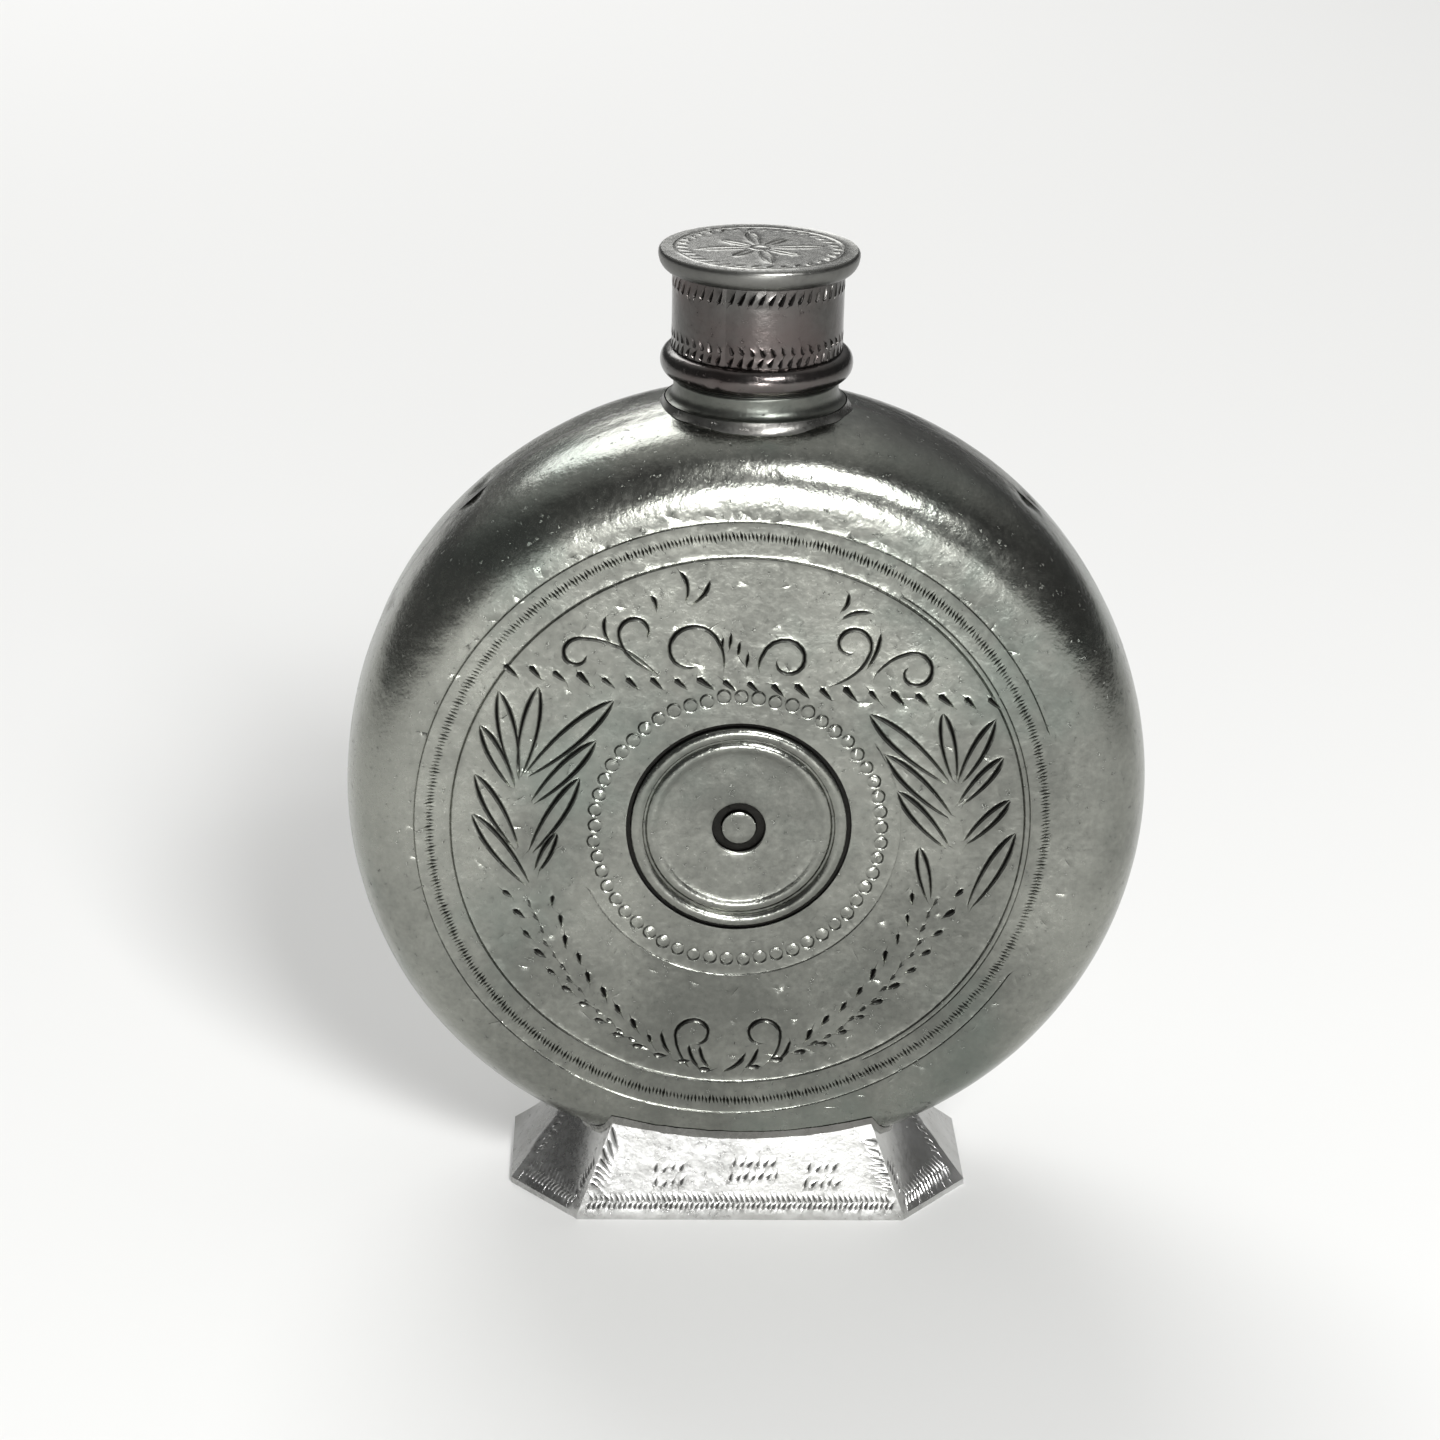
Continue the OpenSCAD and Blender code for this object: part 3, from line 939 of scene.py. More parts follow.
        edge = [(self.sheet_r * c, self.sheet_r * s) for c, s in circle]
        hole = [(self.seat[0] + self.seat_r * c, self.seat[1] + self.seat_r * s)
                for c, s in circle]
        face, seat = shell.sheet([edge, hole], marks, spacing, lambda x, z, h: self.worn(
            x, -self.level(x, z), z, (0.0, 1.0), h))
        end = math.acos((self.rim_w / 2.0 / self.half_t)**(self.power / 2.0))
        outline = self.profile(self.turn_at(self.sheet_r), end, self.body_r, self.half_t, 26)
        rings = [face]
        for k, (r, t) in enumerate(outline[1:], 1):
            a, b = outline[k - 1], outline[min(len(outline) - 1, k + 1)]
            run = math.dist(a, b)
            slope = ((a[1] - b[1]) / run, (b[0] - a[0]) / run)
            rings.append(shell.put([self.worn(r * c, -t, r * s, slope) for c, s in circle]))
        rings.append(ring(self.body_r - self.rim_depth, 0.0))
        inside_t, seat_t = self.half_t - self.wall, self.half_t - self.seat_depth
        inner = self.profile(math.pi / 2, 0.0, self.body_r - self.wall, inside_t, 12)
        rings += [ring(r, t) for r, t in inner]
        # The seat's floor and the plug's hole take dirt and painted shade
        for r, t in ((self.plug_r, inside_t), (self.plug_r, seat_t), (self.seat_r, seat_t)):
            rings.append(ring(r, t, self.seat_grime, self.seat))
        shell.rows(rings + [seat])
        return shell

    def build(self, marks: Marks, material: bpy.types.Material, spacing: float = 1.25) -> None:
        """Makes, cuts and dresses the piece.

        Args:
            marks: the engraving.
            material: the piece's finish.
            spacing: distance between the face's plain points.
        """
        shell = self.solid(marks, spacing)
        if self.side is Side.REAR:
            shell.points = [(-x, -y, z) for x, y, z in shell.points]
        piece = shell.build()
        bpy.ops.mesh.primitive_cylinder_add(
            vertices=144, radius=self.neck_r * MM, depth=2 * self.neck_reach * MM,
            location=(0.0, 0.0, (BODY_CENTRE_Z + self.body_r) * MM))
        cutter = bpy.context.object
        cut = piece.modifiers.new("NeckHole", "BOOLEAN")
        cut.operation, cut.solver, cut.object = "DIFFERENCE", "EXACT", cutter
        graph = bpy.context.evaluated_depsgraph_get()
        mesh = bpy.data.meshes.new_from_object(piece.evaluated_get(graph))
        piece.modifiers.clear()
        piece.data = mesh
        bpy.data.objects.remove(cutter)
        finish_piece(piece, material, f"{self.side.word}_shell")


@dataclass
class FaceOrnament:
    """The engraving on the front face: listed places in millimetres from the body's centre."""

    punch: MarkPath
    middle: Point = (-1.7, -0.7)
    rings_middle: Point = (-1.7, -0.9)
    # Each turned circle: its radius, its two ends in degrees, half its width and its depth
    scribed: tuple[tuple[float, ...], ...] = (
        (40.3, 0.0, 360.0, 0.16, 0.13), (41.1, -62.0, 58.0, 0.11, 0.08),
        (45.4, 20.0, 330.0, 0.11, 0.08), (22.9, 205.0, 395.0, 0.13, 0.06))
    # Each leaf: its tip and its base
    sprays: tuple[tuple[float, ...], ...] = (
        (-35.1, 19.7, -32.7, 6.7), (-29.7, 20.4, -32.3, 7.3), (-19.4, 18.5, -31.3, 7.3),
        (-21.8, 12.4, -30.4, 3.2), (-24.0, 6.8, -30.7, -4.3), (-27.2, -1.6, -29.9, -7.3),
        (-37.7, 14.6, -33.3, 5.6), (-38.5, 7.3, -32.8, -3.8), (-38.9, 1.2, -31.3, -9.4),
        (16.2, 16.8, 27.3, 6.8), (26.3, 17.0, 28.4, 7.2), (33.6, 16.1, 29.2, 6.8),
        (18.6, 10.7, 28.0, 1.5), (35.0, 10.5, 29.5, 3.6), (20.5, 5.2, 27.8, -3.2),
        (36.3, 4.0, 30.4, -2.5), (37.3, -1.1, 31.5, -12.5), (23.9, -3.5, 25.6, -11.3))
    curls: tuple[Curl, ...] = (
        Curl((-24.3, 25.4), (2.4, 1.2), (75.0, 345.0), (-13.1, 22.3)),
        Curl((-16.4, 28.6), (2.4, 1.7), (205.0, -20.0), (-13.6, 22.7)),
        Curl((-8.7, 26.0), (4.0, 2.4), (15.0, 285.0), (-4.2, 23.6)),
        Curl((4.4, 24.7), (3.5, 1.4), (170.0, -175.0), (0.6, 23.4)),
        Curl((13.3, 27.1), (2.9, 1.3), (-35.0, 275.0), (10.6, 21.0)),
        Curl((22.1, 23.1), (3.1, 1.2), (125.0, -215.0), (16.6, 22.6)),
        Curl((-7.2, -33.3), (2.9, 1.5), (200.0, -85.0), (-8.0, -38.6)),
        Curl((2.5, -33.2), (2.7, 1.5), (-10.0, 270.0), (3.6, -37.6)))
    # Each bent stroke: its start, the point that it bends towards and its end
    strokes: tuple[tuple[float, ...], ...] = (
        (-20.5, 30.9, -21.2, 29.0, -19.9, 27.2), (17.2, 28.8, 17.2, 26.5, 15.5, 23.6),
        (-8.0, -35.0, -8.0, -37.2, -6.3, -38.8), (-6.4, -35.2, -6.5, -37.2, -4.9, -38.7),
        (-12.0, -32.9, -12.0, -35.0, -10.6, -36.4), (2.0, -35.5, 1.6, -37.6, 0.2, -38.7),
        (0.2, -36.3, -0.4, -38.2, -3.0, -39.3), (6.6, -34.2, 6.4, -36.2, 4.9, -37.4),
        (-10.6, 37.6, -8.8, 36.0, -9.6, 33.2), (-6.4, 36.2, -6.6, 34.4, -8.6, 32.9),
        (-14.4, 34.0, -13.6, 33.4, -13.6, 31.9), (12.6, 34.6, 12.8, 33.0, 11.6, 32.0),
        (15.8, 31.8, 13.2, 32.2, 11.8, 30.8))
    # Each of the short upright strokes: its place across, its top and its foot
    uprights: tuple[tuple[float, ...], ...] = (
        (-4.4, 28.0, 26.1), (-3.3, 28.6, 26.3), (-2.1, 27.4, 25.3), (-0.9, 25.8, 23.7))
    tick_row: tuple[Point, ...] = (
        (-33.4, 22.8), (-18.5, 21.0), (-8.5, 21.2), (0.0, 20.7), (7.0, 20.2), (18.0, 19.4),
        (33.4, 18.6))
    # Each row of the wreath's left side: its path, and the count, turn, size and seed of its ticks
    wreath: tuple[tuple, ...] = (
        (((-34.0, -11.0), (-31.0, -18.0), (-27.0, -24.5), (-21.5, -30.5), (-16.0, -35.0),
          (-5.5, -38.9)), 13, 22.0, 1.0, 21),
        (((-27.6, -12.0), (-26.0, -18.0), (-22.5, -24.0), (-18.0, -29.5), (-13.6, -34.0)),
         9, -18.0, 1.0, 22),
        (((-30.8, -12.5), (-28.6, -19.0), (-25.0, -25.0), (-20.0, -31.0), (-12.5, -36.6)),
         15, 6.0, 0.7, 23))

    def circles(self, marks: Marks) -> None:
        """Scribes the turned circles.

        Args:
            marks: the sheet's marks, which it adds to.
        """
        for r, start, end, wide, deep in self.scribed:
            steps = int(abs(end - start) / 1.5)
            marks.line(ring_path(self.middle, r, start, end, steps), wide, deep)

    def bands(self, marks: Marks) -> None:
        """Lays the wriggled band and the row of struck rings.

        Args:
            marks: the sheet's marks, which it adds to.
        """
        band = ring_path(self.middle, 43.3, 90.0, 450.0, 240)[:-1]
        self.punch.lay(marks, nick(1.5, 0.2, 0.2), band, 520, 98.0, 10.0, 0.12, (0.75, 1.15), 3,
                       True)
        rings = ring_path(self.rings_middle, 20.2, 90.0, 450.0, 120)[:-1]
        self.punch.lay(marks, ring_punch(0.92, 0.16, 0.17), rings, 53, -90.0, 28.0, 0.16,
                       (0.96, 1.05), 8, True)

    def hand_cuts(self, marks: Marks) -> None:
        """Cuts the two sprays of leaves, the scrolls and the small strokes near them.

        Args:
            marks: the sheet's marks, which it adds to.
        """
        for leaf in self.sprays:
            marks.leaf(leaf[:2], leaf[2:], 0.4, 0.3)
        for curl in self.curls:
            marks.cut(curl.path(), 0.37, 0.3, 0.6)
        for stroke in self.strokes:
            marks.cut(bezier(stroke[:2], stroke[2:4], stroke[4:], 8), 0.36, 0.3, 0.35)
        for x, top, low in self.uprights:
            path = bezier((x, top), (x - 0.1, (top + low) / 2), (x - 0.2, low), 5)
            marks.cut(path, 0.27, 0.26, 0.5)

    def scratches(self, marks: Marks) -> None:
        """Lays the short scratches of years of use, turned every way.

        Args:
            marks: the sheet's marks, which it adds to.
        """
        scratch = nick(2.6, 0.06, 0.03)
        for r, count, seed in ((25.5, 26, 91), (31.0, 44, 92), (36.5, 40, 93), (46.4, 60, 94)):
            path = ring_path(self.middle, r, 90.0, 450.0, 120)[:-1]
            self.punch.lay(marks, scratch, path, count, 0.0, 180.0, 0.7, (0.4, 1.1), seed, True)

    def ticks(self, marks: Marks) -> None:
        """Lays the row of chisel ticks and the two sides of the wreath.

        Args:
            marks: the sheet's marks, which it adds to.
        """
        self.punch.lay(marks, tick(2.7, 0.5, 0.42, 0.22), self.tick_row, 21, -40.0, 7.0, 0.2,
                       (0.8, 1.1), 4)
        for path, count, turn, size, seed in self.wreath:
            mirrored = [(-4.2 - x, z + 0.6) for x, z in path]
            for side, way, own_seed in ((path, turn, seed), (mirrored, -turn, seed + 10)):
                self.punch.lay(marks, tick(2.0, 0.44, 0.36 * size, 0.5), side, count, way, 9.0,
                               0.3, (0.8 * size, 1.1 * size), own_seed)

    def front(self) -> Marks:
        """All the marks of the front face.

        Returns:
            The marks.
        """
        marks = Marks()
        for draw in (self.circles, self.bands, self.hand_cuts, self.ticks, self.scratches):
            draw(marks)
        return marks

    def rear(self) -> Marks:
        """The marks of the rear face, a guess: the same circles, band and rings.

        Returns:
            The marks.
        """
        marks = Marks()
        for draw in (self.circles, self.bands, self.scratches):
            draw(marks)
        return marks


# A turned profile: distance from the axis, height above the face, and groove grime or painted shade
Profile = list[tuple[float, float, float]]


@dataclass
class Medallion:
    """The turned disc in its seat, and the plug in its middle."""

    side: Side
    centre: Point = (-1.6, -0.5)
    face_t: float = 18.1
    seat_rise: float = -0.8
    well_r: float = 3.7
    radius: float = 15.2
    border_middle_r: float = 14.3
    border_size: Point = (0.9, 0.62)
    # How dark the disc's underside and the plug's side are: dirt, with painted shade in the gaps
    sunk_grime: float = 0.3

    def turned(self, name: str, profile: Profile, count: int, dent: float) -> bpy.types.Object:
        """Makes a solid that is turned round the disc's axis.

        Args:
            name: the piece's name.
            profile: its closed profile.
            count: number of points in a turn.
            dent: how uneven its outer surface is.

        Returns:
            The object.
        """
        solid, flip = Solid(name), self.side.value
        rings = []
        for r, rise, grime in profile:
            t = self.face_t + rise
            ring = []
            for c, s in directions(count):
                x, z = self.centre[0] + r * c, self.centre[1] + r * s
                down = uneven((x, t * flip, z), dent) if rise > -0.5 else 0.0
                ring.append((x * flip, -(t - down) * flip, z))
            rings.append(solid.put(ring, grime))
        solid.rows(rings, True)
        return solid.build()

    def disc(self, material: bpy.types.Material) -> None:
        """Makes the disc: border, groove, inner bead, sloping band and well.

        Args:
            material: the piece's finish.
        """
        turns = range(0, 181, 15)
        # The border's outer foot at the seat's gap and the well's edge get painted shade with dirt;
        # the groove inside the border gets oxide
        border = [(r, rise, 0.14 * max(0.0, 1.0 - a / 30.0)) for a, (r, rise) in zip(
            turns, arc((self.border_middle_r, 0.0), self.border_size, turns))]
        seat = [(r, self.seat_rise, self.sunk_grime) for r in (self.well_r, self.radius)]
        inward = [(13.4, -0.1, 0.1), (13.15, -0.1, 0.1), (12.95, 0.12, 0.0), (12.6, 0.32, 0.0),
                  (12.2, 0.35, 0.0), (11.75, 0.33, 0.0), (11.45, 0.12, 0.0), (11.2, 0.08, 0.05),
                  (10.9, 0.04, 0.0), (10.4, 0.02, 0.0), (9.0, 0.06, 0.0), (7.0, 0.1, 0.0),
                  (5.4, 0.07, 0.0), (4.1, 0.07, 0.0), (3.85, 0.02, 0.02),
                  (self.well_r, -0.1, self.sunk_grime)]
        name = f"{self.side.word}_medallion"
        piece = self.turned(f"{name}_disc", seat + border + inward, 180, 0.035)
        finish_piece(piece, material, name)

    def plug(self, material: bpy.types.Material) -> None:
        """Makes the plug, with its head inside the body.

        Args:
            material: the piece's finish.
        """
        # The plug's side, in the gap round it, gets dirt and painted shade
        profile = [(0.001, -2.4, 0.0), (4.2, -2.4, 0.0), (4.2, -1.6, 0.0),
                   (2.5, -1.6, self.sunk_grime), (2.5, -0.2, self.sunk_grime), (2.35, 0.02, 0.02),
                   (2.0, 0.1, 0.0), (1.2, 0.06, 0.0), (0.001, 0.04, 0.0)]
        name = f"{self.side.word}_plug"
        finish_piece(self.turned(f"{name}_button", profile, 72, 0.02), material, name)


@dataclass
class Cap:
    """The screw cap: rolled wall, top plate with its bowl-shaped edge, and the ring at its foot."""

    punch: MarkPath
    barrel_r: float = 11.85
    inner_r: float = 10.95
    liner_bore_r: float = 10.05
    foot_up: float = 60.4
    plate_up: float = 73.9
    wall_up: float = 75.1
    top_up: float = 78.1
    plate_r: float = 13.85
    rosette_r: float = 13.0
    bead_h: float = 3.8
    bead_out: float = 1.55
    seam_turn: float = -114.0
    around: int = 150
    # Each punched row: its height, and the count, turn, length, depth and seed of its ticks
    rows: tuple[tuple[float, ...], ...] = (
        (73.75, 54, 66.0, 2.0, 0.3, 31), (66.55, 52, 114.0, 1.35, 0.24, 32),
        (65.05, 54, 62.0, 1.45, 0.3, 33))

    def rolled(self, x: float, r: float, z: float) -> Point3:
        """Rolls a place on the wall's sheet round the cap's axis."""
        a = math.radians(self.seam_turn) + math.pi + x / self.barrel_r
        return (r * math.cos(a), r * math.sin(a), z)

    def wall(self, material: bpy.types.Material) -> None:
        """Makes the wall with its punched rows and its upright seam.

        Args:
            material: the piece's finish.
        """
        half = math.pi * self.barrel_r
        n, upright = self.around, 10
        wide = [-half + 2 * half * i / n for i in range(n + 1)]
        rise = [self.foot_up + (self.wall_up - self.foot_up) * i / upright
                for i in range(1, upright)]
        edge = [(x, self.foot_up) for x in wide] + [(half, z) for z in rise]
        edge += [(x, self.wall_up) for x in reversed(wide)] + [(-half, z) for z in reversed(rise)]
        marks = Marks()
        end = half - 0.9
        for up, count, turn, long, deep, seed in self.rows:
            self.punch.lay(marks, tick(long, 0.37, deep), [(-end, up), (0.0, up), (end, up)],
                           count, turn, 8.0, 0.06, (0.85, 1.05), seed)
        wall = Solid("cap_wall_engraved")

        def worn(x: float, z: float, h: float) -> Point3:
            """A point of the wall's outside."""
            seam = 0.16 * math.exp(-((half - abs(x)) / 0.35)**2)
            return self.rolled(x, self.barrel_r + h - seam - uneven((x, 0.0, z), 0.035), z)

        loop, = wall.sheet([edge], marks, 1.0, worn)
        low, high = loop[:n], loop[n + upright - 1:2 * n + upright][::-1][:n]
        inner = []
        for z, ring in ((self.foot_up, low), (self.wall_up, high)):
            inner.append(wall.put([self.rolled(x, self.inner_r, z) for x in wide[:-1]]))
            wall.bridge(ring, inner[-1])
        wall.bridge(*inner)
        finish_piece(wall.build(), material, "cap_barrel", "cap")

    def rosette(self) -> Marks:
        """The faint marks on the cap's top.

        Returns:
            The marks.
        """
        marks, middle = Marks(), (0.0, 0.0)
        for i in range(8):
            long = 8.6 if i % 2 == 0 else 6.2
            tip, base = (arc(middle, (r, r), [45.0 * i + 8.0])[0] for r in (long, 1.7))
            marks.leaf(tip, base, 0.27, 0.17)
        marks.line(ring_path(middle, 11.7, 0.0, 360.0, 72), 0.14, 0.08)
        marks.line(ring_path(middle, 1.2, 0.0, 360.0, 24), 0.14, 0.1)
        border = ring_path(middle, 10.5, 0.0, 360.0, 72)[:-1]
        self.punch.lay(marks, tick(1.6, 0.3, 0.18, 0.4), border, 34, 50.0, 10.0, 0.15, (0.8, 1.1),
                       41, True)
        return marks

    def plate(self, material: bpy.types.Material) -> None:
        """Makes the top plate: faint rosette, rounded rim, bowl-shaped edge and underside.

        Args:
            material: the piece's finish.
        """
        plate = Solid("cap_top_rosette")
        edge = [(self.rosette_r * c, self.rosette_r * s) for c, s in directions(self.around)]
        rings = plate.sheet([edge], self.rosette(), 1.0, lambda x, y, h: (
            x, y, self.top_up - 0.04 + h - uneven((x, y, 0.0), 0.06)))
        rim_up = self.top_up - 0.7
        profile = arc((13.35, rim_up), (0.5, 0.66), (75, 55, 35, 15, 0))
        foot_r = self.barrel_r + 0.15
        for i in range(1, 13):
            t = math.pi / 2 * i / 12
            profile.append((foot_r + (self.plate_r - foot_r) * max(0.0, math.cos(t))**0.9,
                            self.wall_up + (rim_up - self.wall_up) * (1.0 - math.sin(t))))
        worn_rows = len(profile) - 1
        profile += [(self.inner_r, self.wall_up), (self.inner_r, self.plate_up),
                    (self.liner_bore_r, self.plate_up), (self.liner_bore_r, self.top_up - 2.0)]
        for k, (r, z) in enumerate(profile):
            dent = 0.05 if 0 < k < worn_rows else 0.0
            # Painted shade with dirt: a trace on the top of the rim, and much more from its rounded
            # edge down over the bowl-shaped edge and the underside
            rings.append(plate.ring(
                self.around, lambda c, s: (r - uneven((r * c, r * s, z), dent), z),
                0.12 if k > 2 else 0.05))
        plate.rows(rings)
        plate.close(rings[-1])
        finish_piece(plate.build(), material, "cap_top_plate", "cap")

    def bead(self, material: bpy.types.Material) -> None:
        """Makes the rounded ring, with the nick where its ends meet.

        Args:
            material: the piece's finish.
        """
        ring = Solid("cap_foot_bead")
        rings = []
        for k in range(13):
            a = math.radians(-90.0 + 15.0 * k)
            up = self.foot_up + self.bead_h / 2 + self.bead_h / 2 * math.sin(a)

            def place(c: float, s: float) -> Point:
                """Radius and height of the ring's surface in a direction.

                Args:
                    c: the direction's cosine.
                    s: its sine.

                Returns:
                    Radius and height.
                """
                off = (math.degrees(math.atan2(s, c)) - self.seam_turn + 184.0) % 360.0 - 180.0
                nicked = 0.3 * math.exp(-(off / 3.2)**2)
                worn = uneven((20.0 * c, 20.0 * s, 6.0 * a), 0.05)
                return self.barrel_r + (self.bead_out - nicked - worn) * math.cos(a), up

            rings.append(ring.ring(self.around, place))
        ring.rows(rings, True)
        finish_piece(ring.build(), material, "cap_bead_ring", "cap")


@dataclass
class Foot:
    """The hollow eight-sided foot with its tick-marked panels."""

    punch: MarkPath
    shell: HalfShell
    front_half: float = 24.0
    half_depth: float = 19.7
    half_width: float = 34.0
    side_half: float = 9.1
    lip: float = 0.9
    slopes: tuple[float, float, float, float] = (0.336, 0.154, 0.84, 0.72)
    wall: float = 1.5
    top: float = 12.4
    across: int = 24
    # Each group of small marks on a long panel: its place, its height and its count
    groups: tuple[tuple[float, float, int], ...] = (
        (-12.5, 5.6, 4), (-12.5, 7.8, 4), (-1.5, 6.6, 7), (-1.0, 8.6, 6), (9.5, 5.6, 5),
        (10.0, 8.0, 4))

    def plan(self, up: float, inset: float = 0.0) -> list[Point]:
        """The eight corners at a height, drawn in by a wall's thickness.

        Args:
            up: height above the ground.
            inset: how far they are drawn in.

        Returns:
            The corners.
        """
        tip = self.side_half / self.slopes[3]
        up = 0.0 if up <= self.lip else (up - self.lip) * tip / (tip - self.lip)
        front = self.front_half - self.slopes[0] * up
        deep = self.half_depth - self.slopes[1] * up
        wide = self.half_width - self.slopes[2] * up
        side = max(0.05, self.side_half - self.slopes[3] * up)
        half = [(-front, -deep), (front, -deep), (wide, -side), (wide, side)]
        corners = half + [(-x, -y) for x, y in half]
        shrunk = []
        for i, p in enumerate(corners):
            n1, n2 = self.normal(corners[i - 1], p), self.normal(p, corners[(i + 1) % PANELS])
            scale = inset / (1.0 + n1[0] * n2[0] + n1[1] * n2[1])
            shrunk.append(tuple(p[k] + (n1[k] + n2[k]) * scale for k in (0, 1)))
        return shrunk

    @staticmethod
    def normal(a: Point, b: Point) -> Point:
        """The unit vector that points to the left of the way from a to b, into the plan."""
        span = math.dist(a, b)
        return ((a[1] - b[1]) / span, (b[0] - a[0]) / span)

    def inward(self, panel: int, up: float) -> Point:
        """The level direction into a panel."""
        plan = self.plan(up)
        return self.normal(plan[panel], plan[(panel + 1) % PANELS])

    def at(self, panel: int, share: float, up: float, inset: float = 0.0) -> Point3:
        """A point of a panel at a height above the ground, as solids have it.

        Args:
            panel: the panel's number.
            share: place along it, from 0 to 1.
            up: height above the ground.
            inset: depth under its outside.

        Returns:
            The point.
        """
        plan = self.plan(up, inset)
        a, b = plan[panel], plan[(panel + 1) % PANELS]
        return (a[0] + (b[0] - a[0]) * share, a[1] + (b[1] - a[1]) * share, up - BODY_CENTRE_Z)

    def meets(self, panel: int, share: float, inset: float = 0.0) -> float:
        """The height at which a panel's line runs into the body.

        Args:
            panel: the panel's number.
            share: place along it, from 0 to 1.
            inset: depth under its outside.

        Returns:
            The height above the ground.
        """
        low, high = 4.0, 16.0
        for _ in range(18):
            up = (low + high) / 2
            hit = self.shell.within(*self.at(panel, share, up, inset))
            low, high = (low, up) if hit else (up, high)
        return low

    def marks(self, panel: int) -> Marks:
        """The rows of ticks on a panel, in millimetres from its middle and from the ground.

        Args:
            panel: the panel's number.

        Returns:
            The marks.
        """
        marks = Marks()
        small, slim = tick(1.2, 0.25, 0.17, 0.4), tick(2.4, 0.3, 0.2, 0.4)
        long_panel = (
            (small, [(-22.3, 2.2), (22.3, 2.2)], 60, 62.0, 8.0, 0.08, (0.85, 1.1), 51),
            (small, [(-22.0, 3.3), (21.6, 3.3)], 58, 112.0, 8.0, 0.08, (0.8, 1.05), 52),
            (slim, [(-21.2, 5.0), (-19.2, 11.0)], 8, -118.0, 8.0, 0.1, (0.85, 1.1), 53),
            (slim, [(21.2, 5.0), (19.3, 10.8)], 9, 68.0, 8.0, 0.1, (0.8, 1.0), 54),
            *((small, [(x, z), (x + n * 0.95, z + 0.2)], n, 58.0, 16.0, 0.2, (0.8, 1.2), 60 + n)
              for x, z, n in self.groups))
        corner_panel = (
            (small, [(-5.6, 2.3), (5.6, 2.3)], 16, 62.0, 8.0, 0.08, (0.85, 1.1), 71),
            (small, [(-5.2, 3.5), (5.2, 3.5)], 14, 112.0, 8.0, 0.08, (0.8, 1.05), 72),
            (small, [(-5.6, 4.6), (-6.3, 8.4)], 6, -60.0, 8.0, 0.08, (0.8, 1.1), 73),
            (small, [(5.6, 4.6), (6.3, 8.4)], 6, 60.0, 8.0, 0.08, (0.8, 1.1), 74))
        rows = {0: long_panel, 4: long_panel, 2: (), 6: ()}.get(panel, corner_panel)
        for row in rows:
            self.punch.lay(marks, *row)
        return marks

    def sheet(self, foot: Solid, panel: int, tops: list[float],
              fixed: float) -> tuple[list[int], list[int]]:
        """Adds the engraved outside of a panel.

        Args:
            foot: the solid.
            panel: the panel's number.
            tops: the heights at which the panel meets the body.
            fixed: the height below which the marks keep their true size.

        Returns:
            The numbers of the points along its lower and its upper edge.
        """
        n, steps = self.across, 12
        low_w, high_w = (math.dist(p[panel], p[(panel + 1) % PANELS])
                         for p in (self.plan(0.0), self.plan(self.top)))
        drawn_in = min(0.0, high_w - low_w)

        def half(up: float) -> float:
            """Half the sheet's width; a panel that widens upwards has an even sheet."""
            return (low_w + drawn_in * max(0.0, up - self.lip) / (self.top - self.lip)) / 2

        def place(s: float, up: float, h: float) -> Point3:
            """Stretches the sheet's upper part to the body and lays it on the panel.

            Args:
                s: place across the sheet.
                up: place up the sheet.
                h: height of its marks.

            Returns:
                The point.
            """
            share = min(1.0, max(0.0, 0.5 + s / (2 * half(up))))
            k = min(n - 1, int(share * n))
            part = share * n - k
            top = tops[k] * (1 - part) + tops[k + 1] * part
            if up >= fixed:
                true_up = fixed + (up - fixed) * (top - fixed) / (self.top - fixed)
            else:
                true_up = up
            x, y, z = self.at(panel, share, true_up)
            into = self.inward(panel, true_up)
            from_edge = min(share, 1 - share) * 2 * half(up)
            worn = smooth_step(from_edge / 1.5) * smooth_step(up / 1.5)
            down = uneven((x, y, z), 0.05) * worn - h
            return (x + into[0] * down, y + into[1] * down, z)

        rise = [self.lip + (self.top - self.lip) * k / steps for k in range(steps)]
        edge = [(low_w * (k / n - 0.5), 0.0) for k in range(n + 1)]
        edge += [(half(up), up) for up in rise]
        edge += [(2 * half(self.top) * (k / n - 0.5), self.top) for k in range(n + 1)][::-1]
        edge += [(-half(up), up) for up in rise[::-1]]
        loop, = foot.sheet([edge], self.marks(panel), 0.9, place)
        start = n + steps + 1
        return loop[:n + 1], loop[start:start + n + 1][::-1]

    def build(self, material: bpy.types.Material) -> None:
        """Makes the foot as one closed solid.

        Args:
            material: the piece's finish.
        """
        foot = Solid("foot_skirt_panels")
        n, levels = self.across, 6
        outer, inner = ([[self.meets(panel, k / n, inset) for k in range(n + 1)]
                         for panel in range(PANELS)] for inset in (0.0, self.wall))
        fixed = min(map(min, outer)) * 0.86
        seams = []
        for panel in range(PANELS):
            edges = self.sheet(foot, panel, outer[panel], fixed)
            grid = [foot.put([self.at(panel, k / n, inner[panel][k] * j / levels, self.wall)
                              for k in range(n + 1)]) for j in range(levels + 1)]
            for a, b in zip(grid, grid[1:]):
                foot.bridge(a, b, False)
            seams += zip(edges, (grid[0], grid[-1]))
        for outside, hollow in seams:
            foot.bridge(outside, hollow, False)
        finish_piece(foot.build(24.0), material, "foot_skirt")


